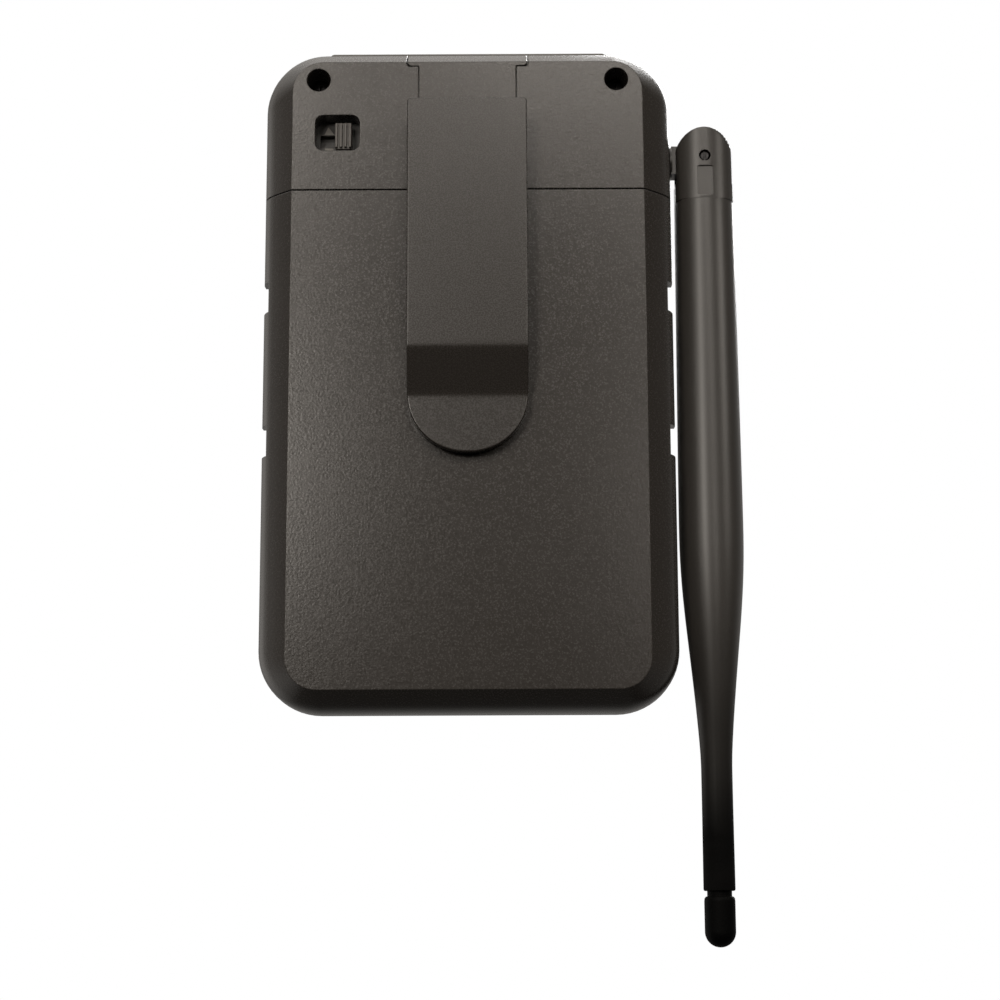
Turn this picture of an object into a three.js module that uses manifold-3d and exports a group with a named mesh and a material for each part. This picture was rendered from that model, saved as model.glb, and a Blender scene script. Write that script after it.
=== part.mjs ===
// A compact trail camera with a belt clip, a slide-off battery cover and a folding antenna.
// Millimetres, +Z up. The lens faces -Y, and the belt clip and battery cover are on the back, +Y.
// The origin is on the flat base, under the middle of the body. Inside the assembly group, depth is
// measured as negative y from the back face, and height from the lowest edge of the rear rim.
import * as THREE from 'three';
import { mergeVertices } from 'three/addons/utils/BufferGeometryUtils.js';
import Module from 'manifold-3d';

const wasm = await Module();
wasm.setup();

// ---------------------------------------------------------------- driving dimensions

const bodyHeight = 145.4;
const bodyDepth = 40;
const rimHalf = 44.3; // half width over the rear rim
const faceHalf = 37.9; // half width of the flat back face
const faceEnd = 4.3; // from the rim's end to the back face, top and bottom
const rimCorner = 13.4;
const faceCorner = 6.6;
const rimDepth = 12; // the rim's front edge
const coreInset = 1.3; // the core stands in from the rim at the sides and the top
const baseInset = 2.4; // and at the base
const coreCorner = 11.6;
const wall = 2;
const fit = 0.3; // clearance between pieces that come apart or slide
const seamHeight = 112; // between the battery cover and the upper back panel
const partingDepth = 24; // rear housing meets front shell

const coreHalf = rimHalf - coreInset;
const coreTop = bodyHeight - coreInset;
const innerHalf = coreHalf - 2.2;
const innerLow = 4.4;
const innerTop = coreTop - 2.2;

const bayHalf = 40.2; // battery bay
const bayLow = 4.3;
const bayTop = 110.8;
const bayFloor = 19;
const floorThick = 1.5;
const sillDepth = 7.6; // back edge of the walls round the bay

const screwPlaces = [[-32.3, 137], [32.3, 137], [-35.5, 8.5], [35.5, 8.5]];
const screwSeat = 9;
const screwShank = 1.4;
const screwEnd = 33;
const screwHead = 2.4;
const screwHeadTall = 2;
const screwClear = 1.65;
const screwAccess = 2.6;
const bossRadius = 4.4;

const clipHalf = 12.75;
const clipTop = 130;
const clipGap = 5.2; // belt gap under the arm
const clipThick = 2.2;
const clipBendTop = 75.3;
const clipBendLow = 65.8;
const clipTip = 53.6;
const clipTipGap = 1;
const clipPivot = { y: 2.9, z: 119 };
const clipPin = 1;
const footHalf = 10.5;
const footHeadHalf = 13;
const footShoulder = 140;
const footLow = 114;
const footFlangeBack = 1.4;
const footFlangeFront = 2.8;
const panelDepth = 5; // solid thickness of the upper back panel

const windowBox = { x0: 23.3, x1: 33, z0: 120.9, z1: 129, corner: 1.8 };
const knobBox = { x0: 25.2, x1: 28.8, z0: 121.9, z1: 127.9 };

const antennaAxis = { x: -52.3, y: -16.6 };
const elbowHeight = 123.6;
const mastHeadTop = 6.6; // above the elbow pin
const mastStep = -9.6; // where the thinner head meets the mast, from the pin
const headThin = 0.8;
const slotHalf = 2.45;
const tongueHalf = 2.2;
const elbowPin = 1.15;
const tipGroove = -37.3;
const tipEnd = -48.1;

const flapHalf = 30.6;
const flapBack = 9.5;
const flapFront = 22.4;
const flapTop = 147;
const portsDepth = 17.6;

const recessDepth = 1.2; // the sunk panel on the front
const recess = { half: 36, z0: 9.5, z1: 136.5, corner: 8 };
const frontPanel = bodyDepth - recessDepth;
const frontInner = 36.8;
const lensHeight = 78;
const pirHeight = 38;
const irWindow = { half: 31, z0: 101, z1: 131, corner: 5 };

const boardBack = 21.4;
const boardFront = 22.9;

const cell = { radius: 7.1, long: 49.3, nub: 2.7, nubTall: 1.1, depth: 10.9, pitch: 15.2 };
const contactLow = 6.15;
const contactHigh = 109.2;
const springGap = 2;

// ---------------------------------------------------------------- materials

function plastic(color, roughness = 0.6) {
  return new THREE.MeshStandardMaterial({ color, roughness, metalness: 0 });
}

function metal(color, roughness = 0.3) {
  return new THREE.MeshStandardMaterial({ color, roughness, metalness: 1 });
}

const finish = {
  shell: plastic(0x4a4642, 0.62),
  clip: plastic(0x484440, 0.6),
  antenna: plastic(0x2c2a28, 0.45),
  innerPlastic: plastic(0x1c1b1a, 0.7),
  rubber: plastic(0x1a1a19, 0.85),
  darkWindow: plastic(0x0c0a0d, 0.12),
  clearLens: plastic(0x223040, 0.05),
  milkyLens: plastic(0xd8d8d2, 0.5),
  board: plastic(0x1f5a33, 0.5),
  steel: metal(0xb9bab8, 0.3),
  blackScrew: metal(0x1a1a1b, 0.4),
  nickel: metal(0x8c8d88, 0.35),
  gold: metal(0xc9a24a, 0.3),
  cellWrap: plastic(0x6a6f73, 0.4),
  led: plastic(0x2b2233, 0.2),
};

// ---------------------------------------------------------------- solids

function solid(geometry) {
  const bare = geometry.clone();
  for (const name of Object.keys(bare.attributes)) {
    if (name !== 'position') bare.deleteAttribute(name);
  }
  const merged = mergeVertices(bare, 1e-4);
  return new wasm.Manifold(new wasm.Mesh({
    numProp: 3,
    vertProperties: new Float32Array(merged.attributes.position.array),
    triVerts: new Uint32Array(merged.index.array),
  }));
}

function geometryOf(manifold) {
  const mesh = manifold.getMesh();
  const geometry = new THREE.BufferGeometry();
  geometry.setAttribute('position', new THREE.BufferAttribute(mesh.vertProperties, 3));
  geometry.setIndex(new THREE.BufferAttribute(mesh.triVerts, 1));
  geometry.computeVertexNormals();
  return geometry;
}

function join(...solids) {
  return solids.reduce((a, b) => a.add(b));
}

function cut(first, ...rest) {
  return rest.reduce((a, b) => a.subtract(b), first);
}

function block(x0, x1, y0, y1, z0, z1) {
  const geometry = new THREE.BoxGeometry(x1 - x0, y1 - y0, z1 - z0);
  return solid(geometry.translate((x0 + x1) / 2, (y0 + y1) / 2, (z0 + z1) / 2));
}

// Cylinders along each axis, between two positions on it.
function rodX(radius, y, z, x0, x1, sides = 24) {
  const geometry = new THREE.CylinderGeometry(radius, radius, x1 - x0, sides);
  return solid(geometry.rotateZ(Math.PI / 2).translate((x0 + x1) / 2, y, z));
}

function rodY(radius, x, z, y0, y1, sides = 24) {
  const geometry = new THREE.CylinderGeometry(radius, radius, y1 - y0, sides);
  return solid(geometry.translate(x, (y0 + y1) / 2, z));
}

function rodZ(radius, x, y, z0, z1, sides = 24) {
  const geometry = new THREE.CylinderGeometry(radius, radius, z1 - z0, sides);
  return solid(geometry.rotateX(Math.PI / 2).translate(x, y, (z0 + z1) / 2));
}

function roundRect(x0, z0, x1, z1, r) {
  const shape = new THREE.Shape();
  shape.moveTo(x0 + r, z0);
  shape.lineTo(x1 - r, z0);
  shape.absarc(x1 - r, z0 + r, r, -Math.PI / 2, 0);
  shape.lineTo(x1, z1 - r);
  shape.absarc(x1 - r, z1 - r, r, 0, Math.PI / 2);
  shape.lineTo(x0 + r, z1);
  shape.absarc(x0 + r, z1 - r, r, Math.PI / 2, Math.PI);
  shape.lineTo(x0, z0 + r);
  shape.absarc(x0 + r, z0 + r, r, Math.PI, Math.PI * 1.5);
  return shape;
}

function polygon(points) {
  return new THREE.Shape(points.map(([x, z]) => new THREE.Vector2(x, z)));
}

// An outline drawn in x and z, extruded from depth `back` forward to depth `front`.
function slab(shape, back, front, curveSegments = 5) {
  const geometry = new THREE.ExtrudeGeometry(shape, {
    depth: front - back, bevelEnabled: false, curveSegments,
  });
  return solid(geometry.rotateX(Math.PI / 2).translate(0, -back, 0));
}

// An outline drawn in y and z, extruded across x from x0 to x1.
function across(points, x0, x1) {
  const geometry = new THREE.ExtrudeGeometry(polygon(points), {
    depth: x1 - x0, bevelEnabled: false,
  });
  return solid(geometry.rotateY(Math.PI / 2).rotateX(Math.PI / 2).translate(x0, 0, 0));
}

// Rounded-rectangle rings at successive depths, joined into one closed skin.
function loft(rings, cornerSteps = 14) {
  const positions = [];
  const index = [];
  const corners = [[1, 1, 0], [-1, 1, 1], [-1, -1, 2], [1, -1, 3]];
  for (const { depth, half, low, high, corner } of rings) {
    for (const [sx, sz, quarter] of corners) {
      const centreX = sx * (half - corner);
      const centreZ = sz > 0 ? high - corner : low + corner;
      for (let i = 0; i <= cornerSteps; i++) {
        const angle = (quarter + i / cornerSteps) * Math.PI / 2;
        positions.push(centreX + corner * Math.cos(angle), -depth, centreZ + corner * Math.sin(angle));
      }
    }
  }
  const count = 4 * (cornerSteps + 1);
  for (let k = 0; k + 1 < rings.length; k++) {
    for (let i = 0; i < count; i++) {
      const a = k * count + i;
      const b = k * count + (i + 1) % count;
      index.push(a, b, b + count, a, b + count, a + count);
    }
  }
  const last = (rings.length - 1) * count;
  for (let i = 1; i + 1 < count; i++) {
    index.push(0, i + 1, i, last, last + i, last + i + 1);
  }
  const geometry = new THREE.BufferGeometry();
  geometry.setAttribute('position', new THREE.Float32BufferAttribute(positions, 3));
  geometry.setIndex(index);
  return solid(geometry);
}

// A round wire or lead along a smooth curve.
function wire(points, radius, steps, sides = 8) {
  const outline = new THREE.Shape().absarc(0, 0, radius, 0, Math.PI * 2);
  const path = new THREE.CatmullRomCurve3(points.map((p) => new THREE.Vector3(...p)));
  return solid(new THREE.ExtrudeGeometry(outline, { steps, extrudePath: path, curveSegments: sides / 2 }));
}

// A closed profile of [radius, height] turned about the y axis; height runs forward from `depth`.
function turnedY(profile, x, z, depth, sides = 32) {
  const points = profile.map(([r, h]) => new THREE.Vector2(r, h));
  const geometry = new THREE.LatheGeometry(points, sides);
  return solid(geometry.rotateX(Math.PI).translate(x, -depth, z));
}

// ---------------------------------------------------------------- outer skin shared by panel and cover

// How far out the skin has gone, as a share, and how deep it is there.
const skinProfile = [[0, 0], [0.34, 1.95], [0.62, 3.7], [0.75, 4.6], [0.85, 5.5], [0.925, 6.5], [0.975, 7.6],
  [1, 9], [1, rimDepth + 0.5]];

function skinRing(share, depth, inset = 0) {
  return {
    depth,
    half: faceHalf + share * (rimHalf - faceHalf) - inset,
    low: faceEnd * (1 - share) + inset,
    high: bodyHeight - faceEnd * (1 - share) - inset,
    corner: faceCorner + share * (rimCorner - faceCorner) - inset,
  };
}

function outerSkin() {
  return loft(skinProfile.map(([share, depth]) => skinRing(share, depth)));
}

function innerSkin() {
  return loft([
    skinRing(0, wall, 0.9),
    skinRing(0.62, 4.8, 1.3),
    skinRing(1, 7.3, 1.7),
    skinRing(1, rimDepth + 1, 1.7),
  ], 6);
}

function coreRing(depth, inset = 0) {
  return {
    depth,
    half: coreHalf - inset,
    low: baseInset + inset,
    high: coreTop - inset,
    corner: coreCorner - inset,
  };
}

// ---------------------------------------------------------------- housing

function rearHousing() {
  const capLow = seamHeight + fit / 2;
  const cap = outerSkin().intersect(block(-50, 50, -rimDepth - fit - 0.02, 1, capLow, bodyHeight + 1));
  const core = loft([coreRing(rimDepth + fit), coreRing(partingDepth)]);
  const sillHalf = rimHalf - 1.7 - fit;
  const sill = slab(roundRect(-sillHalf, 1.7 + fit, sillHalf, capLow + 2, rimCorner - 2), sillDepth, rimDepth + fit + 0.02);
  const bosses = screwPlaces.slice(0, 2).map(([x, z]) => rodY(bossRadius, x, z, -partingDepth + 0.4, -panelDepth + 1));
  const lowBosses = screwPlaces.slice(2).map(([x, z]) => rodY(3.8, x, z, -bayFloor - 0.2, -screwSeat));
  const drivers = screwPlaces.map(([x, z]) => rodY(screwAccess, x, z, -screwSeat, 1, 32));
  const shanks = screwPlaces.map(([x, z]) => rodY(screwClear, x, z, -partingDepth - 1, -screwSeat + 0.5, 16));

  const bay = slab(roundRect(-bayHalf, bayLow, bayHalf, bayTop, 8.4), -1, bayFloor);
  const frontCavity = slab(roundRect(-innerHalf, innerLow, innerHalf, innerTop, coreCorner - 2.2),
    bayFloor + floorThick, partingDepth + 1);
  const upperCavity = slab(roundRect(-38.6, seamHeight + 1.6, 38.6, 140.4, 7), panelDepth, bayFloor + floorThick + 1);
  const portCavity = slab(roundRect(-38.6, 120, 38.6, innerTop, 6), 10.2, bayFloor + floorThick + 1);
  const flapSeat = block(-flapHalf - fit, flapHalf + fit, -partingDepth - 1, -flapBack + fit, coreTop, bodyHeight + 1);

  const headMouth = slab(roundRect(-footHeadHalf - 0.25, footShoulder, footHeadHalf + 0.25, bodyHeight + 9, 0.6),
    -1, footFlangeFront + 0.25);
  const headTop = slab(roundRect(-footHeadHalf - 0.25, 142.4, footHeadHalf + 0.25, bodyHeight + 9, 0.4),
    1, 8.6);
  const mouth = slab(roundRect(-footHalf - 0.2, footLow - fit, footHalf + 0.2, footShoulder + 2, 0.4), -1, footFlangeBack);
  const grooves = slab(roundRect(-footHeadHalf - 0.2, footLow - fit, footHeadHalf + 0.2, footShoulder + 2, 0.4),
    footFlangeBack - 0.2, footFlangeFront + 0.25);

  const { x0, z0, x1, z1, corner } = windowBox;
  const window = slab(roundRect(x0, z0, x1, z1, corner), -1, panelDepth + 1);

  const bushingHole = rodX(3.3, antennaAxis.y, elbowHeight, -50, -38);
  const ports = [
    block(-4.8, 4.8, -portsDepth - 1.9, -portsDepth + 1.9, innerTop - 1, bodyHeight + 1),
    block(10, 22.4, -portsDepth - 1, -portsDepth + 1, innerTop - 1, bodyHeight + 1),
    rodZ(1.9, -20, -portsDepth, innerTop - 1, bodyHeight + 1, 16),
  ];
  const portWell = block(-27, 27, -portsDepth - 3, -portsDepth + 3, coreTop - 0.9, bodyHeight + 1);
  const hookGrooves = [-1, 1].map((side) => {
    const inner = 41.2;
    const outer = 46;
    const [a, b] = side > 0 ? [inner, outer] : [-outer, -inner];
    return block(a, b, -rimDepth - 0.4, -10.4, 0, 89);
  });

  const frame = join(cap, core, sill);
  const hollow = cut(frame, bay, frontCavity, upperCavity, portCavity);
  const bossed = join(hollow, ...bosses, ...lowBosses);
  return cut(bossed, ...drivers, ...shanks, headMouth, headTop, mouth, grooves, window,
    flapSeat, bushingHole, ...ports, portWell, ...hookGrooves);
}

function frontShell() {
  const back = partingDepth + fit;
  const outer = loft([
    coreRing(back), coreRing(34), coreRing(36, 0.3), coreRing(37.6, 1), coreRing(38.9, 2.1), coreRing(bodyDepth, 3.8),
  ]);
  const cavity = slab(roundRect(-innerHalf, innerLow, innerHalf, innerTop, coreCorner - 2.2), back - 1, frontInner);
  const sunk = slab(roundRect(-recess.half, recess.z0, recess.half, recess.z1, recess.corner),
    frontPanel, bodyDepth + 1);
  const bosses = screwPlaces.map(([x, z]) => rodY(3.6, x, z, -frontInner - 0.5, -back - 0.4));
  const pilots = screwPlaces.map(([x, z]) => rodY(screwClear - 0.05, x, z, -frontInner + 1, -back + 1, 16));
  const { half, z0, z1, corner } = irWindow;
  const windowSeat = slab(roundRect(-half - 0.2, z0 - 0.2, half + 0.2, z1 + 0.2, corner), 37.6, bodyDepth);
  const windowHole = slab(roundRect(-half + 2, z0 + 2, half - 2, z1 - 2, corner - 2), frontInner - 1, bodyDepth);
  const gasketGroove = cut(
    slab(roundRect(-42.35, 3.05, 42.35, 143.45, 10.9), back - 1, back + 1.5),
    slab(roundRect(-41.25, 4.15, 41.25, 142.35, 9.8), back - 2, back + 2),
  );
  const holes = [
    rodY(12.1, 0, lensHeight, -bodyDepth - 1, -frontInner + 1, 32),
    rodY(15.2, 0, pirHeight, -bodyDepth - 1, -frontInner + 1, 32),
    rodY(1.5, 24, 93, -bodyDepth - 1, -frontInner + 1, 12),
    rodY(0.7, 0, 15, -bodyDepth - 1, -frontInner + 1, 10),
  ];
  return cut(join(cut(outer, cavity), ...bosses), sunk, ...pilots, windowSeat, windowHole, gasketGroove, ...holes);
}

function caseGasket() {
  const back = partingDepth + 0.12;
  const front = partingDepth + fit + 1.3;
  return cut(
    slab(roundRect(-42.2, 3.2, 42.2, 143.3, 10.8), back, front),
    slab(roundRect(-41.4, 4, 41.4, 142.5, 10), back - 1, front + 1),
  );
}

function bayGasket() {
  const back = sillDepth - 0.8;
  const front = sillDepth - 0.1;
  return cut(
    slab(roundRect(-41.3, 3.2, 41.3, 111.8, 9.6), back, front),
    slab(roundRect(-40.5, 4, 40.5, 111.1, 8.8), back - 1, front + 1),
  );
}

function caseScrew([x, z]) {
  const head = rodY(screwHead, x, z, -screwSeat + 0.12, -screwSeat + screwHeadTall);
  const shank = rodY(screwShank, x, z, -screwEnd, -screwSeat + 0.5, 16);
  const bars = [[1.5, 0.32], [0.32, 1.5]];
  const drive = bars.map(([w, h]) => block(x - w, x + w, -screwSeat + screwHeadTall - 1, 0, z - h, z + h));
  return cut(join(head, shank), ...drive);
}

// ---------------------------------------------------------------- battery cover and cells

function batteryCover() {
  const top = seamHeight - fit / 2;
  const inside = block(-50, 50, -rimDepth, 1, -1, top);
  const shell = cut(outerSkin().intersect(inside), innerSkin());
  const notches = [];
  const hooks = [];
  for (const side of [-1, 1]) {
    for (const low of [54.6, 86.3]) {
      const [a, b] = side > 0 ? [coreHalf, 50] : [-50, -coreHalf];
      const outline = [[-rimDepth - 1, low], [0, low], [0, low + 6.2], [-rimDepth - 1, low + 7.2]];
      notches.push(across(outline, a, b));
      const [c, d] = side > 0 ? [41.5, 43] : [-43, -41.5];
      hooks.push(block(c, d, -rimDepth, -10.8, low - 7.5, low - 0.5));
    }
  }
  return join(cut(shell, ...notches), ...hooks);
}

function batteryTray() {
  const low = bayLow + fit;
  const high = bayTop - fit;
  const halfWide = 2 * cell.pitch + 0.4;
  const base = block(-halfWide, halfWide, -bayFloor + 0.1, -bayFloor + 0.8, low, high);
  const dividers = [-2, -1, 0, 1, 2].map((k) => {
    const x = k * cell.pitch;
    return block(x - 0.4, x + 0.4, -bayFloor + 0.1, -cell.depth + 1, low, high);
  });
  const ends = [low, high - 0.8].map((z) => block(-halfWide, halfWide, -bayFloor + 0.1, -5, z, z + 0.8));
  return join(base, ...dividers, ...ends);
}

// An AA cell with its positive nub up, or down where `flip` is set. `slot` is 0 for the lower of a column.
function batteryCell(column, slot, flip) {
  const x = (column - 1.5) * cell.pitch;
  const total = cell.long + cell.nubTall;
  const low = contactLow + springGap + slot * (total + 0.05);
  const profile = [[0, 0], [cell.radius - 0.5, 0], [cell.radius, 0.5], [cell.radius, cell.long - 0.6],
    [cell.radius - 0.6, cell.long], [cell.nub, cell.long], [cell.nub, total], [0, total]];
  const geometry = new THREE.LatheGeometry(profile.map(([r, h]) => new THREE.Vector2(r, h)), 18);
  geometry.rotateX(Math.PI / 2);
  if (flip) geometry.rotateX(Math.PI).translate(0, 0, contactLow + contactHigh - low);
  else geometry.translate(0, 0, low);
  return solid(geometry.translate(x, -cell.depth, 0));
}

function cellSpring(column, flip) {
  const x = (column - 1.5) * cell.pitch;
  const turns = 2;
  const rise = 1.2;
  const start = flip ? contactHigh - 0.4 : contactLow + 0.4;
  const points = [];
  for (let i = 0; i <= turns * 8; i++) {
    const angle = i / 8 * Math.PI * 2;
    const height = rise * i / (turns * 8) * (flip ? -1 : 1);
    points.push([x + 3 * Math.cos(angle), -cell.depth + 3 * Math.sin(angle), start + height]);
  }
  return wire(points, 0.3, turns * 8, 4);
}

// A contact strip across the ends of columns `from` to `to`, at the low or the high end.
function contactStrip(from, to, high) {
  const x0 = (from - 1.5) * cell.pitch - 5;
  const x1 = (to - 1.5) * cell.pitch + 5;
  const z0 = high ? contactHigh + 0.1 : contactLow - 0.4;
  const strip = block(x0, x1, -cell.depth - 4, -cell.depth + 4.6, z0, z0 + 0.3);
  return cut(strip, block(-0.7, 0.7, -bayFloor, -cell.depth + 1.3, z0 - 1, z0 + 1),
    ...[-1, 1].map((s) => block(s * cell.pitch - 0.7, s * cell.pitch + 0.7, -bayFloor, -cell.depth + 1.3, z0 - 1, z0 + 1)));
}

// ---------------------------------------------------------------- power switch

function switchKnob() {
  const { x0, x1, z0, z1 } = knobBox;
  const base = block(x0, x1, -5.2, -1.9, z0, z1);
  const stem = block(x0 + 1, x1 - 1, -6.8, -5, z0 + 2, z1 - 2);
  const ribs = [0, 1, 2, 3].map((k) => block(x0 + k, x0 + k + 0.6, -2.2, -1.2, z0, z1));
  return join(base, stem, ...ribs);
}

function switchBody() {
  const shell = block(22.4, 33.6, -11.8, -5.5, 120.6, 129.3);
  const hollow = cut(shell, block(24, 32.6, -7.2, -5, 123.6, 126.2));
  const board = block(20.5, 35.5, -12.8, -11.6, 118, 131.5);
  const posts = [[21.8, 119.6], [34.3, 130]].map(([x, z]) => rodY(1.1, x, z, -boardBack + 0.1, -12.5, 12));
  return join(hollow, board, ...posts);
}

// ---------------------------------------------------------------- belt clip

function clipFoot() {
  const plate = slab(roundRect(-footHalf, footLow, footHalf, footShoulder + 1, 0.6), 0, footFlangeFront);
  const flange = slab(roundRect(-footHeadHalf + 0.1, footLow, footHeadHalf - 0.1, 139, 0.5),
    footFlangeBack, footFlangeFront);
  const head = slab(roundRect(-footHeadHalf, footShoulder + 0.2, footHeadHalf, bodyHeight + 9, 1), -1, footFlangeFront);
  const wrap = slab(roundRect(-footHeadHalf, 142.7, footHeadHalf, bodyHeight + 9, 0.6), 1, 8.4);
  const shaped = join(head, wrap).intersect(outerSkin());
  const lugs = [-1, 1].map((side) => {
    const outline = [[-1, 115], [clipPivot.y + 0.6, 116.6], [clipPivot.y + 2, 118], [clipPivot.y + 2, 120],
      [clipPivot.y + 0.6, 121.4], [-1, 123]];
    const [a, b] = side > 0 ? [6, 7.6] : [-7.6, -6];
    return across(outline, a, b);
  });
  const pinHole = rodX(clipPin + 0.12, clipPivot.y, clipPivot.z, -9, 9, 16);
  return cut(join(plate, flange, shaped, ...lugs), pinHole);
}

function clipArm() {
  const inner = clipGap;
  const outer = clipGap + clipThick;
  const tipInner = clipTipGap;
  const tipOuter = clipTipGap + clipThick;
  const side = [
    [inner, clipTop], [outer - 0.5, clipTop], [outer, clipTop - 0.5], [outer, clipBendTop],
    [tipOuter, clipBendLow], [tipOuter, clipTip - 1], [tipInner, clipTip - 1],
    [tipInner, clipBendLow + 1], [inner, clipBendTop + 1],
  ];
  const strip = across(side, -clipHalf, clipHalf);
  const plan = slab(roundRect(-clipHalf, clipTip, clipHalf, 92, 12.4), -10, 2, 10);
  const upper = slab(roundRect(-clipHalf, 80, clipHalf, clipTop + 1, 0.6), -10, 2);
  const blade = strip.intersect(join(plan, upper));
  const cheeks = [-1, 1].map((s) => {
    const outline = [[inner + 0.5, 114.5], [clipPivot.y - 0.9, 117.3], [clipPivot.y - 1.7, 118.4],
      [clipPivot.y - 1.7, 119.6], [clipPivot.y - 0.9, 120.7], [inner + 0.5, 123.5]];
    const [a, b] = s > 0 ? [8, 9.6] : [-9.6, -8];
    return across(outline, a, b);
  });
  const pinHole = rodX(clipPin + 0.12, clipPivot.y, clipPivot.z, -12, 12, 16);
  return cut(join(blade, ...cheeks), pinHole);
}

function clipSpring() {
  const coil = 1.75;
  const turns = 6;
  const length = 8.4;
  const perTurn = 8;
  const points = [];
  for (let i = 0; i <= turns * perTurn; i++) {
    const angle = Math.PI + i / perTurn * Math.PI * 2;
    const x = -length / 2 + length * i / (turns * perTurn);
    points.push([x, clipPivot.y + coil * Math.cos(angle), clipPivot.z + coil * Math.sin(angle)]);
  }
  return wire(points, 0.3, turns * perTurn, 4);
}

// ---------------------------------------------------------------- antenna

function antennaBushing() {
  const { y } = antennaAxis;
  const hex = rodX(3.95, y, elbowHeight, -coreHalf - 1.6, -coreHalf - 0.1, 6);
  const barrel = rodX(3.05, y, elbowHeight, -coreHalf - 0.5, -38.2);
  return cut(join(hex, barrel), rodX(2.3, y, elbowHeight, -50, -30));
}

function antennaKnuckle() {
  const { x, y } = antennaAxis;
  const shaft = rodX(2, y, elbowHeight, -coreHalf - 2, -36, 20);
  const disc = rodX(3.5, y, elbowHeight, -45.3, -44.8);
  const low = elbowHeight - 3.2;
  const high = elbowHeight + 3.2;
  const outline = polygon([[x, low], [-45.1, low], [-45.1, high], [x, high]]);
  const tongue = slab(outline, -y - tongueHalf, -y + tongueHalf);
  const eye = rodY(4.8, x, elbowHeight, y - tongueHalf, y + tongueHalf);
  const hole = rodY(elbowPin + 0.15, x, elbowHeight, y - 4, y + 4, 16);
  return cut(join(shaft, disc, tongue, eye), hole);
}

function elbowPinRod() {
  const { x, y } = antennaAxis;
  return rodY(elbowPin, x, elbowHeight, y - 5, y + 5, 16);
}

// Mast half width at each height from the elbow pin, and its depth as a share of that width.
const mastProfile = [[6.55, -9.6, 0.86], [6.75, -45, 0.86], [6.95, -80, 0.87], [6.9, -88, 0.88], [6.6, -95, 0.9],
  [6, -102.5, 0.93], [5.35, -109, 0.96], [4.6, -116.5, 0.99], [4, -123, 1], [3.5, -129.5, 1], [3.3, -134, 1],
  [3.35, -160.1, 1]];

function antennaMast() {
  const { x, y } = antennaAxis;
  const low = mastProfile[mastProfile.length - 1][1];
  const profile = [[0, mastStep], ...mastProfile.map(([r, h]) => [r, h]), [0, low]].reverse();
  const tube = new THREE.LatheGeometry(profile.map(([r, h]) => new THREE.Vector2(r, h)), 28);
  tube.rotateX(Math.PI / 2);
  const place = tube.attributes.position;
  for (let i = 0; i < place.count; i++) {
    const ring = mastProfile.find(([, h]) => Math.abs(h - place.getZ(i)) < 0.01);
    place.setY(i, place.getY(i) * ring[2]);
  }
  const body = solid(tube.translate(x, y, elbowHeight));
  const outline = new THREE.Shape();
  outline.moveTo(-6.4, mastStep - 1);
  outline.lineTo(6.4, mastStep - 1);
  outline.lineTo(6.4, -1.6);
  outline.absarc(0, 0, mastHeadTop, -0.24, Math.PI + 0.24);
  const side = slab(outline, -y - 9, -y + 9, 8).translate([x, 0, elbowHeight]);
  const tubeHead = new THREE.CylinderGeometry(6.9, 6.9, 20, 28).rotateX(Math.PI / 2).scale(1, headThin, 1);
  const head = solid(tubeHead.translate(x, y, elbowHeight - 1)).intersect(side);
  const slot = block(x - 9, x + 9, y - slotHalf, y + slotHalf, elbowHeight - 5.6, elbowHeight + 9);
  const pinHole = rodY(elbowPin + 0.15, x, elbowHeight, y - 8, y + 8, 16);
  const tipBore = rodZ(2.72, x, y, elbowHeight + low - 1, tipGroove + 1.9, 20);
  return cut(join(body, head), slot, pinHole, tipBore);
}

function antennaTip() {
  const { x, y } = antennaAxis;
  const r = 3.25;
  const profile = [[0, tipGroove + 1.5], [2.6, tipGroove + 1.5], [2.6, tipGroove - 0.3], [3.05, tipGroove - 0.5], [r, tipGroove - 1.3]];
  for (let i = 0; i <= 5; i++) {
    const angle = i / 5 * Math.PI / 2;
    profile.push([r * Math.cos(angle), tipEnd + r - r * Math.sin(angle)]);
  }
  profile[profile.length - 1][0] = 0;
  const geometry = new THREE.LatheGeometry(profile.reverse().map(([a, h]) => new THREE.Vector2(a, h)), 24);
  return solid(geometry.rotateX(Math.PI / 2).translate(x, y, 0));
}

// ---------------------------------------------------------------- top flap and ports

function portFlap() {
  const low = coreTop + 0.15;
  const plate = block(-flapHalf, flapHalf, -flapFront, -flapBack, low, flapTop);
  const softEnds = slab(roundRect(-flapHalf, low, flapHalf, flapTop, 1), flapBack - 1, flapFront + 1);
  const plug = block(-26.6, 26.6, -portsDepth - 2.6, -portsDepth + 2.6, coreTop - 0.6, low + 1);
  return join(plate.intersect(softEnds), plug);
}

function usbPort() {
  const shell = block(-4.5, 4.5, -portsDepth - 1.6, -portsDepth + 1.6, innerTop - 6.5, innerTop + 0.9);
  const mouth = block(-4.1, 4.1, -portsDepth - 1.2, -portsDepth + 1.2, innerTop - 5.5, innerTop + 2);
  const tongue = block(-3.2, 3.2, -portsDepth - 0.35, -portsDepth + 0.35, innerTop - 6, innerTop + 0.2);
  return join(cut(shell, mouth), tongue);
}

function cardSocket() {
  const shell = block(9.2, 23.2, -portsDepth - 1.4, -portsDepth + 1.4, innerTop - 15.5, innerTop - 0.2);
  return cut(shell, block(10.4, 22, -portsDepth - 0.75, -portsDepth + 0.75, innerTop - 14.5, innerTop + 1));
}

function memoryCard() {
  return slab(roundRect(10.7, innerTop - 14, 21.7, innerTop + 1, 0.6), portsDepth - 0.35, portsDepth + 0.35, 3);
}

function pairButton() {
  const cap = rodZ(1.6, -20, -portsDepth, innerTop - 1, innerTop + 1.3, 16);
  return join(cap, rodZ(2.6, -20, -portsDepth, innerTop - 1.1, innerTop - 0.3, 16));
}

// ---------------------------------------------------------------- electronics and front optics

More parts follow.
